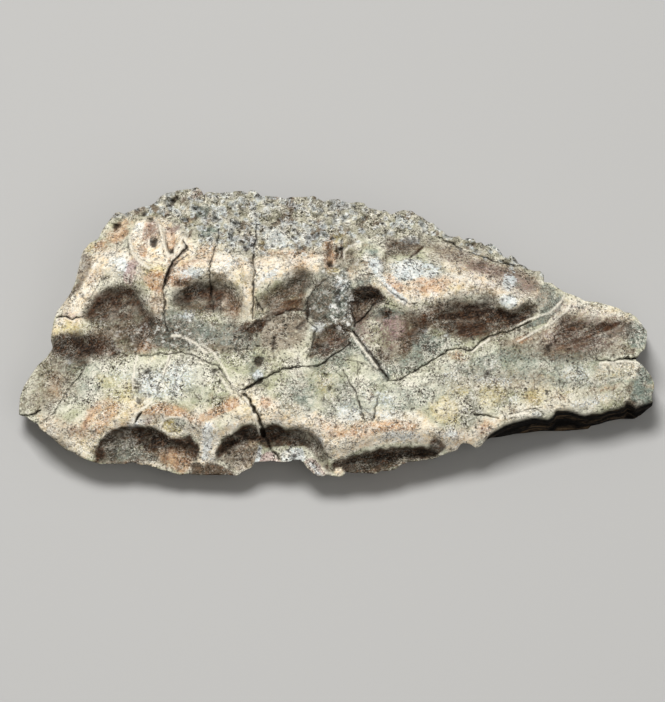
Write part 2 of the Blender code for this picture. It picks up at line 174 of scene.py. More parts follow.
# Hollows: depth in mm, width of the wall in pixels, how brown the stain in them is, and
# their edge; each is deepest under its upper wall
HOLLOWS = (
    (1.1, 12.0, 0.9, rows(
        "50,339 58,337 66,335 74,332 82,334 92,335 102,338 112,344 120,352 116,358 104,361 "
        "92,360 84,366 74,364 64,358 56,353 51,347")),
    (2.0, 13.0, 0.9, rows(
        "83,318 84,310 88,304 94,299 100,294 106,289 113,286 121,285 128,286 136,287 141,292 "
        "144,300 149,308 152,318 150,328 146,338 138,334 128,328 118,322 108,320 98,319 90,322")),
    (2.3, 14.0, 0.6, rows(
        "171,306 172,298 176,291 183,286 190,282 198,280 206,279 214,276 222,278 229,283 "
        "236,288 240,296 242,306 240,318 236,326 228,318 218,313 208,314 198,312 188,313 178,310")),
    (1.8, 14.0, 0.8, rows(
        "258,312 256,304 262,296 268,291 276,286 284,281 290,276 296,270 304,268 311,274 "
        "312,284 309,294 306,304 300,310 288,313 276,318 264,318")),
    (2.0, 12.0, 0.7, rows(
        "350,312 350,301 354,294 360,290 368,289 376,291 381,295 382,302 376,306 370,310 "
        "366,318 358,324 353,320")),
    (0.7, 6.0, 0.5, rows(
        "309,358 311,346 316,336 322,330 332,325 342,324 350,328 353,334 348,342 338,348 "
        "328,354 318,360")),
    (1.9, 15.0, 0.9, rows(
        "430,324 438,313 446,306 454,301 464,300 474,302 484,298 492,296 498,300 502,306 "
        "510,311 518,309 522,303 530,302 538,305 537,312 530,318 522,324 510,328 500,332 "
        "490,336 478,338 468,340 458,339 450,336 442,330")),
    (1.1, 12.0, 0.55, rows(
        "556,330 558,320 566,313 574,312 580,318 590,318 598,316 604,318 610,323 622,323 "
        "630,323 631,330 624,335 616,336 608,340 598,344 588,347 576,352 566,356 556,352 "
        "552,342")),
    (1.4, 6.5, 0.4, rows(
        "91,457 96,446 103,437 112,430 121,427 130,426 139,426 149,426 159,430 170,438 "
        "182,442 192,444 198,448 200,454 199,459 194,475 178,475 158,470 140,466 110,466 "
        "92,462")),
    (1.9, 6.5, 0.3, rows(
        "213,462 216,450 219,446 227,437 236,431 244,425 250,423 259,427 263,427 270,423 "
        "277,423 286,428 294,427 303,428 311,433 320,440 326,450 329,461 330,474 316,475 "
        "304,463 280,463 255,465 248,471 238,478 222,476 214,470")),
    (1.7, 6.0, 0.9, rows(
        "328,470 335,462 342,459 350,456 364,452 378,449 398,446 420,446 432,448 443,452 "
        "438,458 424,461 408,461 398,466 386,472 372,474 350,474 336,472")),
)

# Stained areas with an edge: each stain with its strength, the width of the edge in pixels and
# the edge; "clear" takes away the stains laid before it. Some rows paint light and shade: the
# dark under the front lip and along the lower left edge is painted shade, the dark in the upper
# parts of the hollows is partly their own stain and partly painted shade, and the cream and chalk
# on the column between the front hollows and along their lower edges are partly painted highlight.
AREAS = """
dark 0.62 6 52,341 60,337 72,335 84,337 92,342 96,350 88,356 80,364 70,358 58,354
dark 0.6 4 173,300 178,291 188,284 200,280 208,284 206,292 198,299 188,303 180,305
dark 0.22 6 260,310 260,296 270,288 282,283 292,284 280,296 270,308
dark 0.4 4 438,322 446,308 456,302 476,304 490,306 506,313 522,312 528,302 538,306 534,314 522,322
504,326 486,326 468,320 456,322 450,332 442,330
dark 0.7 1.5 380,313 388,311 394,315 388,318 382,317
dark 0.6 3 544,346 550,345 553,350 550,356 545,354
dark 0.7 1.5 484,378 485,371 492,367 490,373 486,380
dark 0.6 1.5 46,434 60,438 72,446 80,454 88,462 76,456 62,450 50,442
dark 0.6 1.5 456,452 462,443 470,446 476,449 466,452
dark 0.5 3 620,404 632,402 642,406 650,408 640,415 630,412
brown 0.5 7 50,352 60,356 70,360 82,362 80,370 70,372 58,368 48,362
brown 0.7 1.5 83,252 90,256 92,264 88,276 80,290 72,298 66,304 70,294 76,282 79,266
brown 0.4 7 118,322 132,326 142,318 156,320 152,338 140,350 128,344 118,334
brown 0.8 1.8 429,447 434,435 440,440 446,449 440,452
taupe 0.4 3.0 50,352 58,358 68,362 78,368 76,380 68,390 62,400 52,410 44,412 34,410 22,414 18,408
24,388 36,368
taupe 0.6 3.0 500,340 530,334 560,322 600,340 640,346 634,354 600,357 570,364 540,360 510,364
496,358
taupe 0.75 1.5 626,408 623,402 629,398 625,388 632,381 638,378 638,364 642,364 652,378 655,390
652,402 646,410
taupe 0.4 5.0 92,334 120,320 150,310 176,306 210,318 244,322 262,318 290,312 308,318 304,344
280,350 250,346 220,352 190,354 150,352 120,360 96,356
slate 0.5 4.0 150,312 170,306 190,316 206,318 214,330 206,346 190,350 170,350 152,346
slate 0.6 3.0 424,338 444,340 462,342 450,350 430,362 412,372 396,377 392,370 404,358 414,348
slate 0.8 3.0 628,324 636,320 645,332 644,345 634,346 628,338
slate 0.7 1.0 200,238 202,230 212,226 219,226 218,233 208,238
slate 0.6 2.0 545,300 556,292 564,296 556,308 546,314 538,316
gravel 1.0 3.0 313,290 322,280 332,273 346,270 349,285 350,300 356,326 344,332 328,322 314,325
308,312
gravel 0.9 4.0 350,262 372,252 384,262 380,276 366,282 352,280
gravel 0.55 5.0 126,370 150,366 158,384 150,398 130,398
gravel 0.3 5.0 205,340 250,344 246,358 220,364 200,352
gravel 0.5 5.0 462,360 500,356 498,376 480,396 480,430 462,430 458,396
gravel 0.5 5.0 318,376 352,384 354,420 322,416
gravel 0.4 6.0 96,318 150,322 200,316 212,336 160,352 110,352
cream 1.0 1.0 52,336 56,320 62,317 82,319 80,324 70,331
cream 1.0 2.0 500,298 506,293 516,294 521,300 518,308 510,310 503,306
cream 0.8 2.0 600,363 624,362 638,364 638,378 620,380 604,384 590,382
cream 0.8 1.5 437,447 438,434 444,430 456,438 462,446 456,452 446,450
rust 0.8 2.0 412,423 392,420 372,422 358,432 366,437 384,430 404,431 416,428
rust 0.6 3.0 136,344 148,340 156,348 146,353 138,351
rust 0.6 2.5 270,316 280,306 290,300 300,292 306,296 302,306 286,312
ochre 0.6 3.0 430,402 444,396 456,402 458,424 440,424 430,414
ochre 0.6 3.0 528,392 540,390 542,400 530,404
ochre 0.5 4.0 478,384 500,382 508,398 492,408 478,404
dark 0.35 4 293,286 295,274 303,269 312,276 311,286 300,284
dark 0.75 1.5 113,224 121,223 122,228 116,230 112,228
dark 0.8 1 167,207 171,201 176,195 181,193 178,199 172,206
dark 0.6 1.5 141,217 143,211 147,209 147,213 144,217
slate 0.8 2 195,216 197,207 204,203 211,207 209,216 202,219
dark 0.35 3 196,216 198,208 204,205 210,208 208,215 202,218
cream 0.9 1.5 180,210 182,203 190,201 196,206 190,211
rose 0.4 2 189,198 191,189 198,187 203,192 202,199 195,200
rust 0.8 2 149,283 152,276 160,273 164,277 160,284 152,286
rust 0.8 2 171,285 173,277 180,274 186,276 184,283 176,287
ochre 0.5 3 140,268 150,264 160,266 164,272 152,275 142,273
rust 0.7 2 94,247 98,241 104,240 103,247 96,251
rust 0.7 2 111,241 116,235 126,230 129,233 122,240 113,244
rose 0.7 3 124,270 130,264 136,268 135,278 130,286 124,284
chalk 0.8 3 116,262 122,258 127,264 124,272 118,270
rust 0.35 3 84,284 90,272 100,268 103,276 94,284
cream 0.9 5 66,316 74,296 82,282 90,262 104,252 120,248 134,254 132,262 116,262 102,272 94,288
86,306 76,314
cream 1 5 132,262 150,268 168,268 190,262 215,254 240,256 262,262 284,258 304,254 318,258 322,270
316,274 300,268 286,274 272,282 258,288 248,296 238,282 226,274 206,270 190,272 176,278 165,286
152,282 140,272
cream 1 5 386,272 400,292 416,300 430,300 446,294 470,294 486,290 498,296 506,306 520,304 524,294
514,288 500,284 480,280 460,278 440,276 420,280 404,284
chalk 0.8 4 396,264 410,260 430,264 442,268 438,276 420,278 402,280 396,272
gravel 0.4 4 394,266 410,258 440,262 450,272 430,280 404,282
rust 0.6 3 386,276 393,275 400,284 398,292 390,287
rust 0.45 4 410,284 424,280 440,277 450,280 446,288 428,292 414,292
taupe 0.45 5 425,244 445,244 462,252 480,262 500,266 520,270 540,276 545,290 530,300 515,284
495,276 470,270 450,262 430,258
taupe 0.4 4 470,287 484,284 498,290 496,298 480,294
chalk 0.7 2 503,277 512,276 514,284 508,290 502,284
dark 0.5 1.5 478,262 484,261 487,266 482,270 478,267
brown 0.6 1.5 455,254 458,249 463,249 463,256 458,258
slate 0.6 3 373,310 382,307 394,308 402,312 396,320 384,320 374,318
brown 0.7 4 400,352 402,338 408,330 414,334 412,346 406,356
cream 0.5 3 394,330 398,320 408,318 410,326 402,334
brown 0.45 7 376,336 386,326 394,332 392,350 382,356 374,348
slate 0.7 3 412,334 424,332 438,338 436,348 424,350 412,348
dark 0.5 1.5 420,346 428,343 431,348 424,352
taupe 0.5 5 84,326 100,330 120,336 140,330 152,336 140,350 116,352 100,356 90,350
brown 0.6 7 560,322 580,318 606,320 632,326 630,338 606,344 584,346 564,344
brown 0.5 6 596,322 612,318 632,322 632,334 612,340 598,336
brown 0.7 6 86,314 92,303 104,294 118,289 130,292 134,304 132,316 120,320 104,320 92,322
brown 0.75 6 172,306 176,296 188,288 204,284 220,286 224,298 222,310 208,314 192,312
rust 0.35 4 224,290 234,294 240,304 238,316 230,314 226,302
pored 1 3 148,250 158,246 168,254 172,262 160,268 150,262
pored 0.9 4 214,236 232,232 240,244 234,256 220,256
pored 0.9 4 284,236 304,232 314,246 306,262 288,262
pored 0.9 4 396,262 436,262 444,276 420,284 400,290
pored 0.8 4 494,386 530,382 562,386 560,398 520,402 496,400
pored 0.8 4 122,374 150,368 158,386 150,400 130,402
pored 0.7 4 226,398 256,392 262,404 240,412
pored 0.7 4 356,236 380,236 384,260 366,280 350,276
pored 0.7 5 470,262 500,268 530,276 540,290 520,296 490,284
pored 0.8 4 196,236 214,244 208,262 192,262
pored 0.7 5 96,318 140,330 150,342 120,350 90,340
pored 0.8 5 214,330 250,326 286,330 300,350 260,360 220,350
taupe 0.7 4 308,300 318,288 330,280 346,276 350,296 352,326 338,330 322,322 312,322
slate 0.6 4 312,296 326,284 340,290 344,310 336,322 318,318
dark 0.6 6 308,296 314,300 316,318 328,326 320,330 308,318
dark 0.4 4 344,284 350,290 354,312 356,326 350,322 346,300
slate 0.5 6 60,366 92,360 110,372 100,392 76,402 58,404
dark 0.45 7 92,312 98,300 110,292 122,294 126,304 116,314 102,318
brown 0.8 7 404,338 412,324 424,312 440,303 448,310 442,326 428,331 414,342
brown 0.8 4 440,322 450,308 470,306 500,312 526,312 536,304 536,312 524,322 508,328 500,334 480,338
462,337 450,334
dark 0.3 6 446,316 462,308 490,312 512,318 524,316 512,326 488,330 462,330 450,326
taupe 0.5 4 374,332 384,320 400,312 414,314 416,332 408,350 396,360 386,364 378,352
dark 0.2 4 398,344 406,332 416,322 430,316 436,322 424,328 412,338 404,350
brown 0.55 4 376,352 384,346 392,350 390,362 382,366
slate 0.5 3 366,354 378,362 392,370 402,362 410,352 398,366 388,378
taupe 0.35 6 150,320 192,318 198,344 150,348
dark 0.15 8 150,322 190,320 196,344 152,346
chalk 0.5 6 142,370 178,368 182,398 146,400
dark 0.4 4 52,342 62,338 76,336 90,342 94,350 84,356 72,360 60,356
taupe 0.28 8 440,372 520,366 600,374 640,384 630,396 560,400 480,404 440,396
brown 0.25 7 540,346 560,340 584,348 606,350 600,360 572,366 546,362
cream 0.8 3 150,288 160,286 167,300 168,322 160,330 152,316
brown 0.4 4 150,312 158,316 164,326 156,334 146,326
rust 0.4 4 360,258 374,256 376,270 364,280 352,274
brown 0.45 3 344,240 350,236 356,240 352,248 346,248
slate 0.7 2 364,249 378,250 378,256 366,257
slate 0.6 3 356,277 370,275 370,286 358,286
brown 0.5 3 378,258 388,262 388,274 382,274
chalk 0.8 2 368,258 378,258 384,272 376,276
brown 0.5 6 442,246 452,244 462,250 466,258 454,262 444,256
taupe 0.6 4 466,258 500,268 524,272 540,284 530,292 500,280 470,270
cream 0.7 2 162,222 166,226 165,240 168,252 165,254 161,240
cream 0.7 2 179,234 183,238 182,248 176,255 174,252 178,244
cream 0.9 3 98,432 110,424 124,420 140,418 160,424 176,430 190,424 204,428 216,432 224,428 236,420
250,414 262,418 274,414 290,418 304,420 318,428 326,440 330,456 322,446 312,434 300,428 284,426
272,422 262,425 250,421 238,428 226,436 218,444 214,456 213,470 202,470 201,452 199,438 190,430
182,436 172,435 158,429 146,424 130,424 114,428
cream 1 2 330,456 340,448 352,440 368,436 384,434 404,434 424,436 438,440 442,449 432,445 420,442
398,442 378,444 364,447 350,452 338,460
rust 0.9 2 142,413 150,408 162,406 174,407 184,409 188,415 180,417 166,414 152,414
rust 0.8 1.5 186,415 196,419 206,418 214,414 222,408 228,402 238,399 240,404 232,410 222,414
212,419 200,424 190,421
rust 0.9 1.5 222,405 228,399 238,398 241,403 234,408 226,410
rust 0.8 1.5 261,405 263,399 270,399 273,404 266,408
rust 0.6 3 78,438 84,424 94,408 100,402 101,408 92,422 86,438
clear 1 1 159,425 163,420 170,417 178,417 185,420 188,426 185,432 178,434 170,433 163,430
cream 1 1 159,425 163,420 170,417 178,417 185,420 188,426 185,432 178,434 170,433 163,430
ochre 1 1 162,425 166,421 171,419 174,422 173,430 169,432 164,429
slate 0.9 ochre 0.4 1 174,421 179,419 184,422 186,427 182,431 177,431 173,427
clear 1 1 201,474 200,450 199,438 206,428 214,434 216,446 213,458 214,474
cream 0.9 1 201,474 200,450 199,438 206,428 214,434 216,446 213,458 214,474
chalk 0.4 2 203,470 203,446 208,434 212,448 211,468
dark 0.95 1 190,463 200,463 210,464 222,468 230,472 237,477 220,479 200,479 188,477
brown 1 1.8 94,452 99,443 105,436 113,430 122,427 134,426 150,427 160,431 173,438 184,438 191,433
197,438 199,450 196,460 188,452 176,446 164,448 150,452 136,450 120,452 104,458 96,460
dark 0.8 1.8 140,430 147,427 156,430 158,437 164,447 154,451 144,451 140,442
brown 0.8 1.8 92,462 100,456 120,452 138,452 140,463 124,465 108,465
dark 0.5 1.8 104,436 113,431 124,428 134,428 134,438 122,438 110,440
dark 0.35 1.8 96,458 108,450 124,450 134,452 128,460 110,462
gravel 0.5 2 112,440 124,438 136,442 136,452 118,454 110,448
clear 0.3 3 112,444 124,441 138,446 152,444 168,448 178,450 178,464 160,468 136,462 112,460
taupe 0.8 2 152,442 164,446 176,448 176,462 164,466 152,458
clear 0.8 2 168,447 180,446 188,452 190,460 189,470 182,474 174,470 168,458
rust 0.9 2 168,447 180,446 188,452 190,460 189,470 182,474 174,470 168,458
brown 0.5 1.8 166,444 180,443 188,448 190,454 182,450 172,452
cream 0.8 1.5 122,463 130,457 146,457 158,462 166,468 150,466 136,464
brown 1 1.8 215,452 219,446 227,438 236,432 244,426 250,424 258,428 263,428 270,424 277,424 286,429
294,428 303,429 311,434 320,441 326,451 329,462 329,472 320,462 314,450 304,446 290,448 280,450
266,448 258,442 246,440 234,446 226,454 219,462
dark 1 1.8 242,431 248,426 258,430 270,426 280,427 284,434 280,440 266,440 254,438 244,438
dark 0.35 1.8 284,432 296,430 308,436 318,444 322,454 314,448 300,442 288,441
clear 0.9 1.5 262,450 274,447 290,446 304,448 312,454 318,462 322,474 312,472 302,463 280,462
262,462
clear 0.85 2 219,460 227,450 238,445 252,445 262,448 262,460 256,468 246,476 232,474 222,468
taupe 0.55 2 219,458 228,448 240,442 256,444 262,450 258,462 250,468 240,473 230,468
pored 0.9 2 219,458 228,448 240,442 256,444 262,450 254,463 240,474 230,468
cream 0.8 2 234,470 244,460 256,452 260,458 254,463 248,470 240,474
chalk 0.9 1 254,464 258,452 259,444 262,448 262,458 258,463
rose 0.9 1.5 258,462 262,455 272,452 278,456 279,462
chalk 0.8 1.5 280,461 282,453 290,448 302,449 306,458 304,462
dark 0.8 1 288,456 294,453 298,456 294,461
clear 0.7 1.5 304,462 308,458 316,460 322,468 326,476 316,476
rose 0.7 1.5 304,462 308,458 316,460 322,468 326,476 316,476
chalk 0.6 1.5 308,464 312,461 320,470 324,476 316,476
dark 0.5 1.8 336,468 342,461 352,458 366,453 380,450 398,448 416,448 430,450 438,454 424,460
408,464 392,471 370,474 350,474
clear 1 1 334,472 336,467 341,467 343,472 339,477
cream 1 1 334,472 336,467 341,467 343,472 339,477
clear 0.9 2 129,240 133,228 140,221 150,216 162,217 176,221 186,229 192,240 196,252 186,262 172,266
152,268 138,262 131,252
cream 1 2 129,240 133,228 140,221 150,216 162,217 176,221 186,229 192,240 196,252 186,262 172,266
152,268 138,262 131,252
chalk 0.9 1.5 135,229 138,223 144,222 143,228 138,231
rose 0.6 1.5 143,240 142,230 145,223 153,221 158,226 160,232 157,236 150,238 146,246
rust 0.45 2 141,246 142,230 146,223 154,222 159,228 158,236 150,240 146,248
brown 0.45 1.5 143,238 144,228 149,223 156,226 158,234 150,236 146,242
dark 0.85 1 150,242 151,237 155,235 158,239 157,245 153,248 150,246
rust 0.9 1 137,247 142,245 147,246 147,252 144,257 140,255
brown 0.35 1 137,247 142,245 147,246 146,250 140,251
pored 0.8 1.5 148,247 156,249 162,244 165,250 170,258 160,263 150,259
brown 0.55 rose 0.6 1.5 164,225 172,228 180,224 179,231 174,234 168,233
rust 0.75 1 166,232 176,233 176,241 174,250 169,250 167,241
brown 0.9 0.8 164,231 166,232 168,242 170,251 168,253 166,243
dark 0.95 1 168,250 174,248 175,252 172,256 169,254
dark 0.95 1 182,240 185,243 189,247 188,250 185,249 183,245
brown 0.85 1.2 184,248 187,250 183,255 177,260 173,266 170,268 172,262 178,255
brown 0.8 1.2 173,262 177,263 173,270 169,277 167,284 163,283 165,275 168,268
ochre 0.55 3 141,265 152,262 166,264 166,270 156,274 144,272
rust 0.6 2 178,271 186,262 195,256 200,258 192,266 182,273
rust 0.4 3 196,262 199,248 208,241 216,244 214,256 206,262
slate 0.5 chalk 0.5 2 187,276 192,269 203,266 206,272 197,278
rust 1 1.5 148,286 149,278 157,277 160,283 156,290 150,290
rust 1 1.2 177,278 180,273 187,272 189,276 184,279
brown 0.6 1.5 173,285 176,279 185,279 188,283 182,287
rust 0.9 1.5 174,284 177,278 187,279 186,285 178,288
rose 0.9 2 124,279 126,268 131,261 136,266 133,274 127,281
slate 0.5 2 120,274 124,262 131,260 128,272
brown 0.85 1.2 232,334 240,326 250,320 262,318 270,313 284,308 303,307 304,311 286,312 274,318
266,324 262,332 252,333 246,331 240,333
brown 0.6 1.5 245,333 252,332 253,340 247,341
dark 0.5 1.2 246,330 256,321 264,318 270,315 264,324 258,331
pored 0.7 cream 0.15 3 264,322 280,314 304,312 308,330 306,358 290,362 268,356 260,340
slate 0.45 4 200,330 214,320 236,322 250,330 262,336 262,346 244,350 222,346 204,340
pored 0.6 4 200,330 214,320 236,322 250,330 262,346 244,350 222,346 204,340
slate 0.4 3 240,352 254,350 266,356 268,372 258,380 246,372
slate 0.4 5 283,386 290,374 304,372 316,378 318,396 306,404 292,400
slate 0.4 4 312,362 326,358 342,358 348,366 334,374 318,374
dark 0.85 1 273,335 277,335 276,343 275,352 271,352 272,343
dark 0.7 1 295,328 299,323 304,318 307,320 303,326 299,331
dark 0.9 1 253,358 258,356 264,357 263,364 260,368 256,367 254,362
chalk 0.9 1 253,374 258,370 263,376 258,380
brown 0.75 5 311,358 309,356 312,345 316,336 320,331 330,328 340,322 348,324 351,334 347,344
338,350 326,356
dark 0.75 1.5 309,357 311,348 316,343 324,344 326,350 320,354
dark 0.4 3 333,333 336,325 345,322 349,327 344,334
rose 0.35 2 322,352 324,338 334,332 344,338 338,348
chalk 0.6 1.5 313,329 315,322 321,320 325,324 322,330 317,333
slate 0.3 2 336,356 342,344 350,338 356,346 348,356
brown 0.8 1 325,252 326,243 331,241 333,246 331,256 327,258
rust 0.9 1.2 325,262 326,254 331,250 335,256 335,262 330,264
rust 0.5 2 322,250 324,240 332,238 336,244 336,262 330,270 324,266
dark 0.9 0.8 327,264 331,264 334,266 332,267 328,267
brown 0.95 0.8 335,244 338,244 339,258 336,260 335,252
brown 0.9 0.8 340,243 342,243 343,257 340,259 339,250
ochre 0.7 2 326,268 334,267 341,270 338,274 328,273
brown 0.55 3 383,262 384,244 388,238 396,237 396,246 390,252 388,260
dark 0.7 0.8 392,246 394,243 397,243 396,246 393,248
brown 0.55 3 398,252 399,244 408,241 420,244 418,250 410,256 404,256
taupe 0.6 2 384,244 390,237 402,238 420,242 424,246 414,256 400,256 390,256
brown 0.95 0.8 408,259 412,254 418,249 424,245 425,247 419,252 412,258
slate 0.7 1.5 405,260 410,258 412,264 408,267
slate 0.5 3 364,254 372,248 380,252 380,268 372,270 366,264
cream 0.6 2 347,268 354,264 358,268 357,280 351,284 347,278
rust 0.5 2 347,268 353,264 357,268 355,278 350,280
taupe 0.5 2 356,278 364,273 372,276 370,286 360,287
cream 0.9 2 375,271 380,270 388,280 398,291 408,300 413,304 410,308 402,304 390,295 380,285
chalk 0.8 1.5 377,273 381,273 388,282 398,293 408,301 405,304 394,296 384,286
rust 0.9 1.5 387,282 390,278 396,279 399,286 395,290 390,288
rust 0.5 3 412,286 418,280 430,277 442,278 440,288 426,291
dark 0.8 4 350,308 350,297 354,291 362,288 370,289 378,290 384,296 382,303 374,306 364,307 356,309
rose 0.3 3 350,308 350,297 354,291 362,288 370,289 378,290 384,296 382,303 364,307
brown 0.85 4 350,310 349,296 354,289 363,287 371,288 379,289 385,296 384,303 376,308 370,316
362,322 355,322
taupe 0.7 3 376,310 384,308 398,310 402,318 394,326 384,326 376,320
brown 0.85 1 383,311 388,309 394,312 393,315 386,314
cream 0.6 2 396,324 400,319 406,321 407,328 402,332 397,330
taupe 0.5 4 398,334 406,324 416,316 430,308 444,304 440,318 424,328 408,338
gravel 0.9 2 306,304 312,292 322,282 332,275 346,276 352,290 350,308 354,322 344,326 330,322
318,320 308,314
dark 0.7 1.2 303,310 308,308 311,312 309,318 305,316
chalk 0.9 0.8 337,285 339,280 342,283 340,287
chalk 0.9 0.8 335,300 338,294 342,297 339,302
chalk 0.9 0.8 327,308 330,303 334,306 331,309
taupe 0.35 3 268,322 282,314 304,312 308,326 306,344 292,352 272,348 262,338
gravel 0.4 4 150,316 170,312 196,318 214,324 214,340 196,350 168,350 150,340
worn 0.8 6 440,366 480,360 540,362 600,362 640,366 636,400 600,408 560,408 520,404 480,400 450,392
worn 0.7 6 425,250 445,244 480,252 520,272 548,290 540,304 510,296 480,286 450,276 432,262
worn 0.7 4 560,296 590,302 625,314 644,332 630,346 600,350 560,344 540,330 556,314
worn 0.8 3 283,374 300,370 316,374 320,390 306,400 290,398 282,386
worn 1 2 198,474 198,440 204,428 214,434 216,450 214,474
worn 0.6 4 98,425 124,412 150,420 190,424 236,416 262,420 320,430 330,450 300,430 262,424 236,430
210,440 190,432 150,428 124,424
worn 0.6 3 344,446 380,434 430,434 442,444 400,442 364,448
worn 0.5 5 70,270 90,256 120,256 160,262 240,266 310,262 330,276 300,284 240,276 180,276 120,282
90,300
cream 0.45 6 425,252 445,246 480,254 520,272 545,290 540,302 510,296 480,286 450,276 432,262
rose 0.3 6 440,252 470,252 500,266 530,280 540,296 510,292 480,284 450,268
taupe 0.15 5 440,250 470,254 500,268 530,282 540,298 510,290 480,278 450,264
cream 0.4 5 556,300 590,304 625,316 640,326 630,340 600,348 560,350 540,336 552,316
rose 0.3 5 556,300 590,304 625,316 630,330 620,346 580,352 548,346 540,332 552,316
slate 0.7 taupe 0.5 1.5 541,285 548,284 556,289 554,300 548,310 540,312 536,300
taupe 0.7 slate 0.6 1 553,303 560,296 564,300 560,312 546,322 530,328 524,327 540,316
clear 0.8 1.5 500,303 506,298 516,298 521,303 516,308 506,308
cream 1 1.5 500,303 506,298 516,298 521,303 516,308 506,308
dark 0.6 1.5 520,304 528,301 538,304 538,311 530,314 522,311
rust 0.5 3 452,322 458,312 474,308 490,314 488,326 472,330 460,328
taupe 0.7 3 452,304 470,302 490,305 508,312 530,316 520,320 500,317 480,311 460,308
brown 0.5 4 400,312 416,306 436,300 446,304 436,314 420,322 406,328
clear 0.8 2 642,366 650,376 654,388 652,402 646,408 636,406 630,398 634,384 638,372
slate 0.9 2 642,366 650,376 654,388 652,402 646,408 636,406 630,398 634,384 638,372
taupe 0.55 1.5 642,366 650,376 654,388 652,402 646,408 636,406 630,398 634,384 638,372
brown 0.6 1.5 626,404 634,400 646,406 640,412 630,410
slate 0.9 2 628,322 638,322 645,330 646,340 640,348 632,346 630,336
clear 0.7 3 434,404 440,398 450,398 458,404 456,416 446,421 436,416
ochre 0.3 cream 0.5 worn 1 3 434,404 440,398 450,398 458,404 456,416 446,421 436,416
gravel 0.8 1.5 351,328 358,332 366,344 376,356 386,368 391,378 386,382 376,372 364,358 354,342
dark 0.5 1 351,328 356,331 364,343 374,357 384,371 388,379 380,371 368,356 357,341
rose 0.4 4 384,318 398,314 406,324 404,338 392,342 382,332
taupe 0.3 8 150,326 180,320 240,322 290,316 308,318 304,340 270,346 230,348 190,344 160,344
slate 0.4 6 440,362 500,350 560,360 640,364 640,384 590,388 540,384 480,380 450,376
taupe 0.3 4 36,392 48,376 62,366 72,372 66,388 52,404 38,408 28,402
taupe 0.5 5 376,330 384,318 398,326 410,322 420,332 410,346 396,352 382,346
cream 0.8 ochre 0.35 4 66,444 84,426 100,404 128,396 150,398 142,410 130,422 112,430 98,440 92,456
80,458
cream 0.6 3 40,420 56,430 72,444 88,454 84,460 66,450 50,440 38,428
cream 0.8 4 262,398 300,402 330,418 350,412 380,408 420,412 440,430 430,436 380,428 340,440 326,446
300,422 280,418 264,412
rust 0.7 3 94,440 88,436 96,420 108,406 116,402 122,406 112,420 102,434
rust 0.5 3 330,434 334,424 346,426 352,434 344,440
ochre 1 1 162,425 166,420 172,418 175,422 174,430 169,433 164,430
slate 0.8 ochre 0.5 1 175,420 180,419 185,422 187,426 183,431 177,432 174,427
cream 0.8 2 236,440 246,436 256,438 258,446 246,448 238,446
taupe 0.5 2 120,442 136,440 152,446 160,452 150,458 132,456
cream 0.7 3 236,236 262,240 300,240 322,246 316,256 290,252 262,250 238,250
cream 0.5 4 196,232 220,240 236,250 226,260 206,256 196,248
chalk 0.5 3 262,226 280,228 292,240 282,250 268,246 260,236
cream 0.6 4 500,262 520,270 540,282 544,290 528,292 512,282 498,272
cream 0.5 4 440,370 470,364 540,374 560,384 540,392 500,390 460,388
cream 0.6 4 540,330 560,336 570,346 556,350 540,344
dark 0.7 1.8 100,442 108,434 120,430 134,430 150,430 164,438 184,442 196,442 198,448 184,450
160,450 130,446 104,452
dark 0.7 1.8 222,444 236,435 246,428 258,431 272,427 286,432 302,433 316,444 322,454 312,446
296,440 272,442 252,441 236,443 224,452
dark 0.3 4 440,330 450,316 462,306 480,303 496,305 506,312 520,312 532,306 536,310 524,320 500,326
470,330 450,334
brown 0.6 1 176,444 184,442 192,446 197,452 192,456 184,450
slate 0.4 3 108,446 124,448 140,450 150,456 130,458 110,456
dark 0.95 1.8 240,432 247,427 258,430 272,427 284,430 286,438 276,441 262,441 250,439 242,438
dark 0.45 1.8 286,432 300,433 312,438 320,446 325,456 316,450 304,443 290,441
dark 0.8 1.8 344,462 360,456 380,451 400,448 420,448 436,450 430,455 410,457 396,460 380,464
360,466
dark 0.8 1.8 138,430 148,428 158,432 160,442 152,450 142,446
dark 0.35 4 52,344 62,338 78,338 90,344 84,352 70,354 58,352
slate 0.6 3 314,350 328,344 344,340 350,344 342,352 326,360 312,360
slate 0.5 3 322,344 336,338 352,336 362,344 352,356 336,362 322,356
taupe 0.45 6 92,322 120,326 150,318 190,322 192,342 160,348 120,352 92,346
brown 0.3 6 100,328 140,332 176,330 176,344 140,350 104,346
taupe 0.35 6 206,330 240,326 268,332 268,348 236,354 206,350
taupe 0.4 5 396,322 424,320 428,336 420,350 398,350
clear 1 1 201,474 203,456 200,440 202,430 208,427 214,431 212,442 212,456 216,470 210,476
cream 1 1 201,474 203,456 200,440 202,430 208,427 214,431 212,442 212,456 216,470 210,476
worn 1 2 198,474 200,456 197,440 200,428 208,424 217,430 216,442 216,456 219,470 210,478
chalk 0.5 2 201,470 203,456 200,440 202,430 208,427 214,431 212,442 212,456 214,468
ochre 0.8 1 162,426 166,420 172,419 175,424 173,431 167,432
slate 0.8 1 174,419 182,420 187,425 183,432 176,433 175,426
brown 0.65 1 429,449 436,433 447,447 438,450
gravel 0.6 3 320,262 338,262 346,272 340,286 322,286
dark 0.3 3 322,268 334,266 340,278 330,286 322,282
slate 0.4 8 338,380 376,384 430,384 440,404 400,416 340,408
slate 0.25 8 560,370 630,364 640,398 590,408 556,400
rust 0.6 2 147,272 156,269 165,272 164,284 162,294 154,292 149,284
ochre 0.4 2 145,284 152,276 160,272 163,280 158,290 150,293
rust 0.5 2 168,272 180,270 192,276 188,284 176,286 169,282
taupe 0.4 3 144,290 152,296 162,296 164,314 163,330 152,326 148,312 145,300
rust 0.25 3 146,296 160,298 162,318 152,318
clear 0.8 2 498,298 503,294 512,294 519,300 516,307 508,310 500,306
chalk 0.9 worn 0.8 2 499,299 504,295 512,295 518,300 515,306 508,309 501,305
taupe 0.45 4 312,326 340,326 350,334 342,350 322,356 310,352
slate 0.35 6 552,346 598,346 598,364 552,368
taupe 0.3 6 546,344 596,344 594,360 548,364
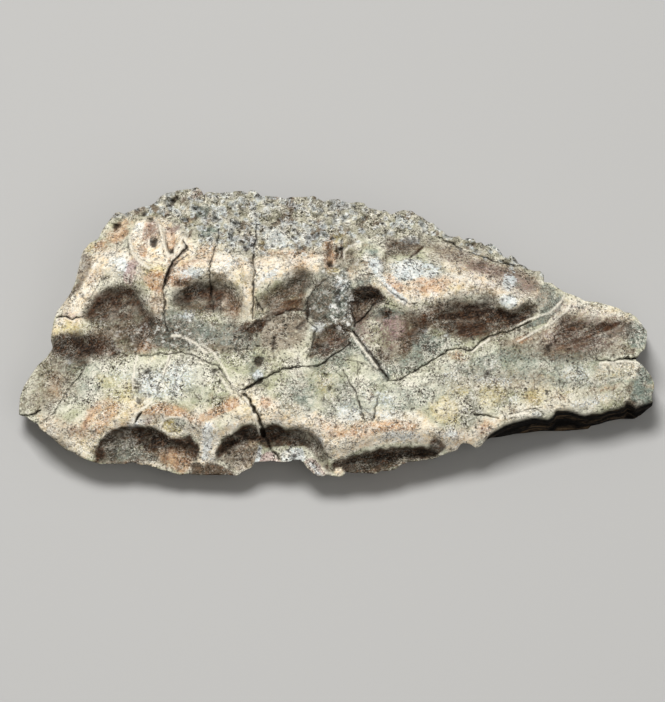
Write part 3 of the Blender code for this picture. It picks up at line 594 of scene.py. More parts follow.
dark 0.35 3 52,344 58,336 68,334 74,346 66,356 56,352
dark 0.45 5 48,340 56,333 72,332 90,336 100,342 92,352 70,358 54,354
brown 0.4 5 48,340 60,334 90,338 104,346 84,358 58,356
taupe 0.35 6 92,326 150,322 186,326 184,344 140,350 96,344
clear 0.6 3 308,298 314,284 326,277 335,286 333,304 322,318 310,314
taupe 0.7 3 308,298 314,284 326,277 335,286 333,304 322,318 310,314
brown 0.35 3 306,300 316,292 330,296 330,308 318,316 308,312
chalk 0.3 1.5 340,268 347,272 350,284 352,298 352,314 348,322 343,316 344,298 340,284
dark 0.6 1.5 334,280 339,288 341,302 340,316 335,310 334,296
dark 0.6 2 300,300 307,298 311,310 308,318 302,312
brown 0.6 1.8 258,430 272,428 286,430 290,440 272,446 256,442
dark 0.7 1.8 222,440 232,434 246,428 250,436 236,444 226,452
dark 0.5 1.8 300,432 314,440 322,450 326,460 318,458 308,446 298,440
dark 0.5 1.8 350,460 380,452 420,449 424,456 396,462 366,467
dark 0.4 1.8 102,444 120,434 134,432 138,444 120,450 106,454
slate 0.4 taupe 0.5 4 104,450 130,448 150,452 164,460 140,466 112,464
taupe 0.4 3 226,450 246,446 262,450 256,462 236,466 224,462
gravel 1 2 336,266 346,268 352,284 354,300 352,318 346,326 338,316 336,298 334,280
clear 0.4 3 352,304 362,300 374,300 372,308 366,316 358,322 353,320
taupe 0.6 3 352,304 362,300 374,300 372,308 366,316 358,322 353,320
rust 0.3 3 354,304 364,302 372,304 364,314 356,318
dark 0.6 3 349,290 358,286 368,286 377,292 374,299 362,300 352,303
brown 0.4 4 382,270 386,252 394,240 410,235 436,238 434,246 414,246 400,252 392,264 388,274
dark 0.3 3 392,244 402,238 420,238 424,244 408,248 396,252
slate 0.6 3 624,322 634,326 640,338 636,348 626,344 622,332
brown 0.15 5 440,250 470,252 500,262 520,270 516,278 486,270 450,262
slate 0.3 6 476,350 520,344 556,352 552,366 510,370 480,366
clear 0.55 3 104,450 108,442 118,438 134,438 140,446 138,458 122,463 108,460
slate 0.5 taupe 0.45 3 104,450 108,442 118,438 134,438 140,446 138,458 122,463 108,460
clear 0.5 2 102,446 106,438 118,431 134,428 140,430 138,436 122,438 110,444
brown 0.75 rust 0.3 2 102,446 106,438 118,431 134,428 140,430 138,436 122,438 110,444
clear 0.5 4 160,448 176,444 192,446 196,456 188,470 170,470 158,460
rust 0.45 cream 0.35 taupe 0.35 3 160,448 176,444 192,446 196,456 188,470 170,470 158,460
dark 0.5 2 107,458 112,448 122,446 128,450 120,458 112,462
clear 0.9 1 162,426 166,420 172,418 180,418 186,422 188,428 184,432 176,434 168,433
worn 1 1 162,426 166,420 172,418 180,418 186,422 188,428 184,432 176,434 168,433
ochre 1 1 162,426 166,420 172,418 176,424 175,432 168,433
slate 0.9 1 175,418 181,418 187,423 188,428 184,432 177,434 176,425
clear 1 1 190,463 204,461 222,465 236,474 212,477 192,475
taupe 1 dark 0.4 1 190,463 204,461 222,465 236,474 212,477 192,475
brown 0.4 3 232,446 246,440 258,440 262,452 250,462 236,460
rust 0.2 3 266,430 290,430 310,438 320,450 300,446 276,442
taupe 0.25 rose 0.25 4 352,318 372,312 392,322 400,344 386,362 368,352 356,334
dark 0.35 2 366,312 380,308 392,314 384,320 370,320
clear 0.6 3 348,264 360,262 368,270 364,280 350,278
slate 0.4 3 306,296 316,288 328,292 328,306 316,314 308,308
dark 0.6 3 352,290 362,286 374,292 376,300 366,306 354,304
brown 0.35 3 142,432 160,430 164,446 154,454 142,448
dark 0.45 3 142,430 158,430 162,444 152,450 142,444
dark 0.3 4 172,438 190,436 197,446 194,456 180,446
cream 0.5 2 196,426 206,422 218,430 216,446 212,458 202,458 198,442
clear 0.5 4 106,312 120,308 138,310 146,320 136,328 118,326 106,320
clear 0.3 4 112,338 128,336 134,344 126,352 114,350
taupe 0.45 3 152,286 164,286 168,296 162,302 152,300
taupe 0.35 4 214,288 230,284 240,294 242,308 234,316 218,312
rust 0.4 4 220,290 234,290 240,304 236,318 222,314
clear 0.85 2 176,428 186,424 198,426 200,440 196,444 190,434 180,436
cream 0.8 2 178,428 188,425 198,427 199,440 192,434 182,434
clear 0.5 3 296,432 312,436 324,448 330,462 324,466 314,452 302,442
taupe 0.5 3 296,434 312,438 322,450 326,462 314,454 302,446
slate 0.5 5 278,386 298,390 314,398 314,414 296,420 280,412
slate 0.3 5 312,358 344,358 354,374 340,388 314,384
slate 0.3 4 350,402 368,400 374,414 362,426 350,420
clear 0.4 5 356,388 396,386 402,404 376,412 356,406
chalk 0.4 5 358,392 394,390 396,404 372,408
chalk 0.35 4 230,236 256,234 262,246 240,252 230,246
chalk 0.3 4 290,232 306,232 310,246 296,250
taupe 0.3 4 342,238 358,238 360,268 346,268
taupe 0.4 4 480,330 508,326 534,324 530,344 500,348 484,344
brown 0.45 3 442,298 454,290 470,290 478,298 462,304 446,306
chalk 0.35 3 474,378 512,376 514,386 480,390
gravel 0.35 4 486,394 504,392 508,408 492,412
slate 0.3 6 428,368 470,364 476,396 440,402
rust 0.45 3 166,258 178,252 186,262 188,282 178,286 168,274
ochre 0.3 3 168,262 180,256 186,270 180,280 170,274
rust 0.45 4 150,406 166,402 180,408 184,416 166,416 154,420
ochre 0.4 3 150,410 162,412 160,424 150,424
rust 0.3 3 168,434 184,436 196,446 190,454 176,446
rust 0.35 3 104,426 120,420 138,420 138,428 120,430 106,434
rust 0.3 6 50,374 76,372 80,396 60,402 46,396
rust 0.35 5 34,410 56,416 80,432 78,444 54,434 36,420
rust 0.25 4 92,292 114,288 124,296 116,314 96,312
rust 0.22 4 432,302 470,300 486,314 466,330 440,322
rust 0.3 4 390,424 412,424 414,434 392,436
rust 0.3 4 344,440 362,438 372,444 356,450
rust 0.35 4 450,430 470,430 474,442 456,446
rust 0.25 4 374,258 388,256 394,268 382,276
rust 0.25 4 538,292 550,290 552,306 540,310
dark 0.3 3 340,344 352,340 350,356 336,358
brown 0.45 6 92,298 112,290 134,292 142,304 140,316 118,320 98,314
clear 0.35 4 374,324 390,326 394,344 384,354 372,348
chalk 0.3 4 440,372 460,370 462,388 444,392
clear 0.3 4 562,366 590,364 592,384 566,386
chalk 0.25 4 562,366 590,364 592,384 566,386
clear 0.3 4 60,368 78,366 76,392 62,394
chalk 0.3 4 132,376 148,376 148,394 134,396
clear 0.4 3 338,440 352,436 362,442 350,452
cream 0.4 3 338,440 352,436 362,442 350,452
taupe 0.35 3 360,326 372,328 374,346 362,342
dark 0.25 3 304,330 316,326 322,340 308,352
clear 0.9 2 200,426 206,420 214,422 216,432 214,446 210,458 204,466 197,462 199,452 201,442 199,434
cream 1 2 200,426 206,420 214,422 216,432 214,446 210,458 204,466 197,462 199,452 201,442 199,434
worn 0.8 3 196,424 206,414 218,418 218,432 216,446 211,458 204,466 197,462 199,452 201,442 199,434
dark 0.4 2.5 112,434 124,429 138,430 140,440 128,440 118,444 108,452 102,450 104,440
brown 0.4 2.5 150,440 168,444 186,440 196,446 198,456 186,458 172,452 156,450
taupe 0.4 3 150,444 170,448 190,448 198,458 186,466 168,462 154,456
brown 0.35 2.5 222,446 236,434 254,430 262,440 248,444 238,450 228,458
cream 0.4 4 248,412 262,402 276,410 268,422 252,424
cream 0.5 4 500,262 520,270 540,284 548,296 536,294 518,284 500,274
cream 0.5 3 360,282 374,280 384,290 380,298 366,296
cream 0.4 3.5 424,292 436,288 448,296 444,306 428,304
cream 0.4 4 376,430 396,428 408,434 400,444 380,442
chalk 0.55 2.5 203,424 211,422 213,434 211,448 207,458 202,462 200,452 203,440
brown 0.4 4 98,300 112,292 128,294 142,306 150,322 140,330 118,330 100,322
brown 0.3 4 70,336 90,332 112,340 124,350 100,356 76,350
dark 0.25 3 110,436 150,432 176,442 184,450 160,452 124,446
taupe 0.25 5 150,334 176,330 196,338 190,350 160,350
cream 0.35 3 128,262 150,258 168,264 160,276 134,278
ochre 0.6 1.5 163,432 168,427 178,426 184,430 180,436 168,437
clear 0.3 4 438,242 460,238 482,248 484,260 460,262 440,256
cream 0.35 5 438,242 460,238 482,248 484,260 460,262 440,256
cream 0.4 4 252,232 280,228 316,232 322,246 300,256 268,258 250,248
cream 0.4 5 228,382 250,378 262,388 252,398 232,396
chalk 0.1 4 206,330 226,326 252,330 256,346 236,352 210,348
chalk 0.5 2.5 200,430 206,422 214,424 214,436 211,450 206,462 201,458 202,444
cream 0.4 3 236,446 254,444 258,456 248,466 236,462
"""

# ---------------------------------------------------------------- cracks, holes and grains

# Cracks: width in pixels, depth in mm, path
CRACKS = (
    (1.5, 0.5, rows("183,241 188,248 182,253 176,259 173,262")),
    (1.3, 0.4, rows("189,254 183,257 178,262 175,266")),
    (2.4, 0.8, rows("173,261 170,268 167,274 165,281 163,292")),
    (2.6, 0.9, rows("166,277 165,281 164,288")),
    (2.0, 0.6, rows("163,292 165,301 165,318 167,331")),
    (1.7, 0.6, rows("219,230 219,236 214,249 212,259 209,270 211,284 212,300 214,313")),
    (2.0, 0.7, rows("257,225 256,238 254,248 253,259 255,270 254,280 253,292 254,302 253,319")),
    (1.6, 0.5, rows("254,295 258,302 264,315")),
    (1.5, 0.3, rows("246,330 258,321 270,320 279,315 287,312 295,310 307,310")),
    (1.5, 0.4, rows("313,290 307,301 307,311 308,319 316,330 314,340 311,348 307,361")),
    (1.9, 0.6, rows("239,390 251,385 258,382 269,376 283,370 294,367 316,366 322,364 333,355 "
                    "343,350 351,344")),
    (5.5, 1.0, rows("243,389 249,387 256,383 264,379")),
    (3.2, 0.9, rows("242,394 250,399 254,406 257,414")),
    (8.0, 1.4, rows("250,400 255,409 259,418 262,428 265,436")),
    (2.4, 0.8, rows("265,435 269,445 271,450 275,454 280,462")),
    (1.4, 0.4, rows("139,356 155,355 171,354 181,352 190,354 198,358 208,363 217,366 226,377 "
                    "232,388")),
    (1.2, 0.3, rows("171,354 168,364 164,376 159,385 155,400")),
    (3.2, 0.7, rows("141,413 138,418 135,423")),
    (1.1, 0.4, rows("85,366 80,376 71,385 64,396 58,407 50,417 39,424")),
    (2.2, 0.7, rows("19,416 27,416 35,413 41,410")),
    (2.2, 0.7, rows("56,317 63,317 70,318 77,319 83,317")),
    (2.0, 0.5, rows("353,331 360,340 368,350 376,361 383,370 388,380")),
    (1.6, 0.6, rows("387,381 400,380 409,373 418,369 430,362 447,351 453,349 460,349 471,351 "
                    "476,346 488,337 500,333 510,331 519,328 533,320")),
    (1.6, 0.5, rows("519,328 520,332")),
    (0.8, 0.2, rows("387,384 383,390 379,395 370,399 360,395")),
    (1.7, 0.5, rows("343,371 350,383 356,392 358,400 361,409 365,422")),
    (1.2, 0.3, rows("358,361 358,376 358,392")),
    (1.4, 0.4, rows("379,395 376,406 373,421")),
    (1.9, 0.6, rows("374,305 366,315 360,321 355,325")),
    (2.2, 0.5, rows("352,309 354,317 355,327")),
    (1.1, 0.3, rows("379,281 386,288 394,295 404,301 411,305")),
    (1.1, 0.3, rows("329,277 323,282 313,291 308,299 304,305")),
    (1.0, 0.2, rows("78,293 86,302 91,296 96,288 102,281 109,276")),
    (3.0, 1.2, rows("642,357 634,358 625,359")),
    (1.5, 0.5, rows("625,359 612,361 599,361 597,358")),
    (2.0, 0.5, rows("475,414 486,416 498,419")),
    (1.5, 0.4, rows("525,410 531,408 538,410 544,416")),
    (1.2, 0.3, rows("343,360 356,361 368,364")),
    (1.8, 0.6, rows("437,237 450,243 465,251 480,256 495,262 510,265 525,266")),
)

# Raised pale veins, partly lit edges of proud plates painted as highlight: half width in pixels,
# height in mm, path
VEINS_AND_LIT_EDGES = (
    (1.3, 0.4, rows("130,241 133,252 138,260 148,268")),
    (1.0, 0.3, rows("159,224 162,233 165,246 168,256 174,254 177,246 182,238")),
    (1.2, 0.3, rows("186,236 184,244 178,254 172,261")),
    (0.8, 0.2, rows("200,342 212,352 220,363 226,372 232,386")),
    (0.8, 0.3, rows("161,426 164,420 171,417 178,417 184,419 188,425 185,432 178,435 169,434 "
                    "163,430")),
    (0.8, 0.2, rows("344,258 343,252 347,248 356,244 364,242")),
    (0.9, 0.2, rows("519,325 528,320 536,317 549,313 557,307 561,301 564,295")),
    (0.8, 0.15, rows("518,341 530,335 540,329 548,325 556,320 564,313 568,309 572,300")),
    (1.2, 0.2, rows("172,336 180,336 192,341 200,347 206,353")),
    (1.6, 0.2, rows("171,353 168,362 164,374")),
    (1.1, 0.2, rows("352,334 360,345 368,356 377,368")),
    (1.0, 0.2, rows("472,352 480,346 490,339")),
    (1.2, 0.2, rows("508,417 525,413 534,417")),
    (1.0, 0.2, rows("601,363 614,362 626,361 637,363")),
    (1.2, 0.2, rows("133,425 139,412 146,406 152,402")),
    (1.0, 0.2, rows("137,356 132,380 134,390")),
    (0.9, 0.2, rows("216,372 222,380 228,388 232,394")),
    (0.8, 0.2, rows("221,371 227,378 233,386")),
    (1.0, 0.15, rows("245,397 250,405 254,414 257,424 260,434")),
)

# Holes: centre u, v, radius in pixels, depth in mm
HOLES = rows("""
116,227,4,1.0 123,217,2.5,0.6 144,213,2.5,0.6 154,241,3,0.8 172,252,2.5,0.9 128,247,1.5,0.4
330,265,3,1.2 337,250,1.8,0.9 341,250,1.6,0.8 258,362,5.5,0.6 243,357,3,0.4 222,350,2,0.3
215,371,4,0.4 214,398,2.5,0.4 275,357,2,0.3 277,384,2,0.3 148,372,3.2,0.5 161,400,1.6,0.3
173,398,2.4,0.4 139,402,3.5,0.3 325,375,3,0.4 329,389,2.6,0.4 339,400,1.8,0.3 380,351,3,0.3
412,409,3,0.3 548,348,4,0.5 550,345,3,0.4 488,374,3,0.3 275,338,1.5,0.4 274,343,1.5,0.4
274,348,1.5,0.4 168,206,2.5,0.8 172,201,2.5,0.8 176,197,2.2,0.7 502,253,2,0.5 503,299,2,0.3
246,250,3,0.6 253,263,2.5,0.5 262,232,2.5,0.6 241,229,3,0.6 300,235,2.5,0.6 288,246,2.5,0.5
233,240,2.5,0.5 385,232,2.5,0.6 360,225,2.5,0.5
""")

# Grains that stand proud: centre u, v, radius in pixels, height in mm
GRAINS = rows("""
199,193,6,0.8 507,303,13,0.7 520,304,6,0.4 262,194,7,0.6 478,240,7,0.5 488,246,6,0.5 510,257,6,0.6
463,239,5,0.4 455,237,5,0.3 442,230,5,0.3 408,212,9,0.5 302,326,5,0.3 190,208,7,0.5 210,214,7,0.4
280,198,7,0.4 309,199,7,0.4 334,201,6,0.4 371,208,6,0.4 117,219,8,0.9 133,216,8,0.7 151,210,9,0.8
168,199,10,0.9 184,196,8,0.7 430,224,5,0.3 543,277,6,0.5 240,196,7,0.6 222,198,7,0.4 276,202,8,0.5
297,203,9,0.5 315,205,8,0.6 346,209,9,0.5 362,209,7,0.5 386,217,7,0.6 404,222,10,0.5 420,224,7,0.5
470,243,7,0.5 492,250,8,0.6
""")


# ---------------------------------------------------------------- noise and distances

# Sizes here are in pixels, and the last whole number of a noise or scatter is its seed

def lattice(seed):
    """A repeating square of random numbers from -1 to 1."""
    return np.random.default_rng(seed).uniform(-1.0, 1.0, (LATTICE, LATTICE))


def soft_noise(u, v, size, seed):
    """Smooth noise from -1 to 1 whose lumps are about size pixels wide."""
    values = lattice(seed)
    a, b = u / size + 31.7, v / size + 17.3
    i, j = np.floor(a).astype(int), np.floor(b).astype(int)
    fa, fb = a - i, b - j
    fa, fb = fa * fa * (3.0 - 2.0 * fa), fb * fb * (3.0 - 2.0 * fb)
    i0, j0, i1, j1 = i % LATTICE, j % LATTICE, (i + 1) % LATTICE, (j + 1) % LATTICE
    top = values[i0, j0] * (1.0 - fa) + values[i1, j0] * fa
    low = values[i0, j1] * (1.0 - fa) + values[i1, j1] * fa
    return top * (1.0 - fb) + low * fb


def rough_noise(u, v, size, seed, layers=3):
    """Soft noise with finer and finer layers, from about -1 to 1."""
    total, weight = np.zeros(len(u)), 1.0
    for layer in range(layers):
        total += weight * soft_noise(u, v, size / 2.0 ** layer, seed + layer)
        weight *= 0.55
    return total / 1.5


def scatter(u, v, size, seed):
    """Distance in pixels to the nearest scattered point, and two numbers drawn for it."""
    rng = np.random.default_rng(seed)
    shift = rng.uniform(0.1, 0.9, (2, SCATTER, SCATTER))
    draw = rng.uniform(0.0, 1.0, (2, SCATTER, SCATTER))
    i, j = np.floor(u / size).astype(int), np.floor(v / size).astype(int)
    best = np.full(len(u), 1e9)
    first, second = np.zeros(len(u)), np.zeros(len(u))
    for di in (-1, 0, 1):
        for dj in (-1, 0, 1):
            a, b = (i + di) % SCATTER, (j + dj) % SCATTER
            gap = np.hypot((i + di + shift[0, a, b]) * size - u,
                           (j + dj + shift[1, a, b]) * size - v)
            near = gap < best
            best = np.where(near, gap, best)
            first = np.where(near, draw[0, a, b], first)
            second = np.where(near, draw[1, a, b], second)
    return best, first, second


def to_path(path, u, v):
    """Shortest distance to a path in pixels, and how far along it that place is, 0 to 1."""
    best, share = np.full(len(u), 1e9), np.zeros(len(u))
    lengths = np.hypot(*(path[1:] - path[:-1]).T)
    done, total = 0.0, lengths.sum()
    for (u0, v0), (u1, v1), length in zip(path[:-1], path[1:], lengths):
        du, dv = u1 - u0, v1 - v0
        along = np.clip(((u - u0) * du + (v - v0) * dv) / (length * length), 0.0, 1.0)
        gap = np.hypot(u - u0 - along * du, v - v0 - along * dv)
        near = gap < best
        best = np.where(near, gap, best)
        share = np.where(near, (done + along * length) / total, share)
        done += length
    return best, share


def ramp(value, low, high):
    """Nothing below low, one above high and a smooth rise between them."""
    x = np.clip((value - low) / (high - low), 0.0, 1.0)
    return x * x * (3.0 - 2.0 * x)


def blob(row, u, v, power):
    """Soft oval patch: one in the middle, nothing outside."""
    angle = math.radians(row[4])
    du, dv = u - row[0], v - row[1]
    along = du * math.cos(angle) + dv * math.sin(angle)
    across = dv * math.cos(angle) - du * math.sin(angle)
    return np.exp(-np.hypot(along / row[2], across / row[3]) ** power)


def through_spots(spots, u, v):
    """Thin-plate surface through spot heights, read at (u, v)."""
    def plate(r):
        return np.where(r > 1e-9, r * r * np.log(np.maximum(r, 1e-9)), 0.0)

    su, sv, height = spots[:, 0] / PLATE_UNIT, spots[:, 1] / PLATE_UNIT, spots[:, 2]
    u, v = u / PLATE_UNIT, v / PLATE_UNIT
    count = len(spots)
    gaps = np.hypot(su[:, None] - su, sv[:, None] - sv)
    plane = np.column_stack((np.ones(count), su, sv))
    left = np.block([[plate(gaps), plane], [plane.T, np.zeros((3, 3))]])
    weight = np.linalg.solve(left, np.concatenate((height, np.zeros(3))))
    reach = np.hypot(u[:, None] - su, v[:, None] - sv)
    flat = weight[count] + weight[count + 1] * u + weight[count + 2] * v
    return plate(reach) @ weight[:count] + flat


# ---------------------------------------------------------------- the blank slab

def within(path, u, v):
    """Whether each place lies within a closed path."""
    found = np.zeros(len(u), bool)
    for (u0, v0), (u1, v1) in zip(path, np.roll(path, -1, axis=0)):
        if v0 == v1:
            continue
        crosses = (v0 > v) != (v1 > v)
        found ^= crosses & (u < (u1 - u0) * (v - v0) / (v1 - v0) + u0)
    return found


def nearest_on_outline(u, v):
    """The outline's nearest place to each place, and its distance."""
    closed = np.vstack((OUTLINE, OUTLINE[:1]))
    best = np.full(len(u), 1e9)
    found_u, found_v = u.copy(), v.copy()
    for (u0, v0), (u1, v1) in zip(closed[:-1], closed[1:]):
        du, dv = u1 - u0, v1 - v0
        along = np.clip(((u - u0) * du + (v - v0) * dv) / (du * du + dv * dv), 0.0, 1.0)
        pu, pv = u0 + along * du, v0 + along * dv
        gap = np.hypot(u - pu, v - pv)
        near = gap < best
        best = np.where(near, gap, best)
        found_u, found_v = np.where(near, pu, found_u), np.where(near, pv, found_v)
    return found_u, found_v, best


def coordinates(verts):
    """Places of the points, one row to each."""
    return np.array([vert.co[:] for vert in verts])


def trimmed_grid():
    """A flat grid over the frame, cut back to the outline; x is u and y is minus v."""
    low, high = OUTLINE.min(axis=0) - COARSE, OUTLINE.max(axis=0) + COARSE
    across, down = high - low
    shape = bmesh.new()
    bmesh.ops.create_grid(shape, x_segments=round(across / COARSE),
                          y_segments=round(down / COARSE), size=0.5)
    bmesh.ops.scale(shape, verts=shape.verts, vec=(across, down, 1.0))
    middle = (low + high) / 2.0
    bmesh.ops.translate(shape, verts=shape.verts, vec=(middle[0], -middle[1], 0.0))
    faces = list(shape.faces)
    centres = np.array([face.calc_center_median()[:] for face in faces])
    keep = within(OUTLINE, centres[:, 0], -centres[:, 1])
    outside = [face for face, kept in zip(faces, keep) if not kept]
    bmesh.ops.delete(shape, geom=outside, context="FACES")
    pinched = True
    while pinched:
        rims = {vert for vert in shape.verts
                if sum(edge.is_boundary for edge in vert.link_edges) > 2}
        pinched = [vert.link_faces[0] for vert in rims if vert.link_faces]
        bmesh.ops.delete(shape, geom=list(set(pinched)), context="FACES")
    loose = [vert for vert in shape.verts if not vert.link_faces]
    bmesh.ops.delete(shape, geom=loose, context="VERTS")
    return shape


def snap_rim(verts):
    """Put rim points on the outline."""
    places = coordinates(verts)
    u, v, _ = nearest_on_outline(places[:, 0], -places[:, 1])
    for vert, a, b in zip(verts, u, v):
        vert.co.x, vert.co.y = a, -b


def relax_beside_rim(shape, rim):
    """Even out the points next to the rim, which keep their level."""
    near = {edge.other_vert(vert) for vert in rim for edge in vert.link_edges} - set(rim)
    for _ in range(3):
        bmesh.ops.smooth_vert(shape, verts=list(near), factor=0.5,
                              use_axis_x=True, use_axis_y=True, use_axis_z=False)


def near_cracks(u, v):
    """Places close enough to a crack to need a finer mesh."""
    close = np.zeros(len(u), bool)
    for width, _, path in CRACKS:
        close |= to_path(path, u, v)[0] < 0.5 * width + 1.6
    return close


def blank_slab():
    """Closed slab over the outline from level 0 to 1, finer above and finest along the cracks."""
    shape = trimmed_grid()
    rim = [vert for vert in shape.verts if any(edge.is_boundary for edge in vert.link_edges)]
    snap_rim(rim)
    relax_beside_rim(shape, rim)
    made = bmesh.ops.extrude_face_region(shape, geom=list(shape.faces))
    raised = [item for item in made["geom"] if isinstance(item, bmesh.types.BMVert)]
    bmesh.ops.translate(shape, verts=raised, vec=(0.0, 0.0, 1.0))
    upright = [edge for edge in shape.edges
               if abs(edge.verts[0].co.z - edge.verts[1].co.z) > 0.5]
    bmesh.ops.subdivide_edges(shape, edges=upright, cuts=RIM_ROWS, use_grid_fill=True)
    upper = {edge for edge in shape.edges if max(vert.co.z for vert in edge.verts) > 0.01}
    bmesh.ops.subdivide_edges(shape, edges=list(upper), cuts=1, use_grid_fill=True)
    shape.normal_update()
    walls = [vert for vert in shape.verts
             if any(abs(face.normal.z) < 0.5 for face in vert.link_faces)]
    snap_rim(walls)
    # teeth of the rim fade out below the outer face
    lower = [vert for vert in walls if vert.co.z < 0.9]
    for _ in range(5):
        bmesh.ops.smooth_vert(shape, verts=lower, factor=0.5,
                              use_axis_x=True, use_axis_y=True, use_axis_z=False)
    edges = [edge for edge in shape.edges if min(vert.co.z for vert in edge.verts) > 0.99]
    ends = np.array([(edge.verts[0].co + edge.verts[1].co)[:] for edge in edges]) / 2.0
    chosen = near_cracks(ends[:, 0], -ends[:, 1])
    fine = [edge for edge, close in zip(edges, chosen) if close]
    bmesh.ops.subdivide_edges(shape, edges=fine, cuts=1, use_grid_fill=True)
    return shape


# ---------------------------------------------------------------- relief of the outer face

LUMP_APART, LUMP_RADIUS = 17.0, 10.0   # pixels between the lumps of the spongy band
LUMP_HEIGHT = 0.85                     # mm
RIB_COS, RIB_SIN = 0.64, 0.77          # the band's fine ribs lean by about 50 degrees
CRACK_TAPER = 0.12                     # share of a crack that narrows at each end
WALL_RECESS = 0.7                      # mm that the broken wall stands back under the lip


def band_share(u, v):
    """One on the spongy band behind the upper crest, nothing elsewhere."""
    above = np.interp(u, UPPER_CREST[2:, 0], UPPER_CREST[2:, 1]) - v
    start = np.interp(u, BAND_START[:, 0], BAND_START[:, 1])
    edge = above - start + 7.0 * rough_noise(u, v, 14.0, 5)
    return ramp(edge, -9.0, 9.0) * ramp(u, 96.0, 112.0)


def crack_field(u, v):
    """Depth of the cracks in mm, and how dark they are."""
    wander_u = u + 1.0 * soft_noise(u, v, 5.0, 11) + 0.7 * soft_noise(u, v, 2.3, 15)
    wander_v = v + 1.0 * soft_noise(u, v, 5.0, 12) + 0.7 * soft_noise(u, v, 2.3, 16)
    thick = rough_noise(u, v, 7.0, 13)
    depth, dark = np.zeros(len(u)), np.zeros(len(u))
    for width, deep, path in CRACKS:
        gap, share = to_path(path, wander_u, wander_v)
        ends = np.clip(np.minimum(share, 1.0 - share) / CRACK_TAPER, 0.0, 1.0)
        taper = 0.45 + 0.55 * ends
        half = 0.27 * width * taper * (1.0 + 1.1 * thick)
        depth = np.maximum(depth, deep * np.exp(-(gap / (half + 0.4)) ** 2))
        dark = np.maximum(dark, ramp(gap, half + 0.6, half - 0.3) * min(0.5 + deep, 1.0))
    return depth, dark


def hole_field(u, v):
    """Depth of the single holes, and how dark they are."""
    depth, dark = np.zeros(len(u)), np.zeros(len(u))
    wander_u = u + 1.6 * soft_noise(u, v, 4.0, 21) + 0.8 * soft_noise(u, v, 2.0, 23)
    wander_v = v + 1.6 * soft_noise(u, v, 4.0, 22) + 0.8 * soft_noise(u, v, 2.0, 24)
    for cu, cv, radius, deep in HOLES:
        reach = np.hypot(wander_u - cu, wander_v - cv) / (0.85 * radius)
        depth = np.maximum(depth, deep * np.exp(-reach ** 3))
        dark = np.maximum(dark, 0.9 * ramp(reach, 1.2, 0.5))
    return depth, dark


def pore_field(u, v, band):
    """Depth of small pores, crowded on the spongy band, how dark they are, and their pale rims, a
    painted highlight.
    """
    depth, dark, light = np.zeros(len(u)), np.zeros(len(u)), np.zeros(len(u))
    lean_u, lean_v = 0.85 * u + 0.5 * v, 0.85 * v - 0.5 * u
    for size, seed, most, share in ((6.0, 31, 1.9, 0.6), (11.0, 33, 3.2, 0.5)):
        gap, first, second = scatter(0.8 * lean_u, 1.25 * lean_v, size, seed)
        radius = most * (0.4 + 0.6 * first)
        present = second < share * band
        pore = ramp(gap, radius * 1.3, radius * 0.3) * present
        depth = np.maximum(depth, pore * 0.25 * radius)
        dark = np.maximum(dark, pore * (0.25 + 0.6 * first))
        # a pale ring round each pore, painted highlight
        light = np.maximum(light, ramp(gap, radius * 2.4, radius * 1.5) * present)
    gap, first, second = scatter(u, v, 7.0, 37)
    radius = 0.7 + 0.9 * first ** 3
    pore = ramp(gap, radius * 1.3, radius * 0.4) * (second < 0.45) * (1.0 - band)
    return np.maximum(depth, 0.12 * pore), np.maximum(dark, 0.7 * pore), light


def area(path, u, v):
    """Distance in pixels from the edge of a closed path, positive inside it."""
    gap = to_path(np.vstack((path, path[:1])), u, v)[0]
    return np.where(within(path, u, v), gap, -gap)


def ragged(u, v, reach, seed):
    """Places moved a little at random, which frays an edge."""
    moved = [place + reach * (soft_noise(u, v, 5.0, seed + shift)
                              + rough_noise(u, v, 13.0, seed + shift + 1))
             for place, shift in ((u, 0), (v, 5))]
    return moved[0], moved[1]


def hollow_field(u, v):
    """Depth of the hollows, and the brown that fills them."""
    sunk, brown = np.zeros(len(u)), np.zeros(len(u))
    frayed_u, frayed_v = ragged(u, v, 1.6, 51)
    for deep, wall, tan, path in HOLLOWS:
        inside = area(path, frayed_u, frayed_v)
        top, low = path[:, 1].min(), path[:, 1].max()
        rise = 1.0 - 0.8 * ramp(v, top + wall, low)
        sunk = np.maximum(sunk, deep * rise * ramp(inside, 2.0 - 0.5 * wall, wall))
        soft = max(0.85 * wall - 3.2, 1.0)
        brown = np.maximum(brown, tan * ramp(inside, -soft, soft))
    return sunk, brown


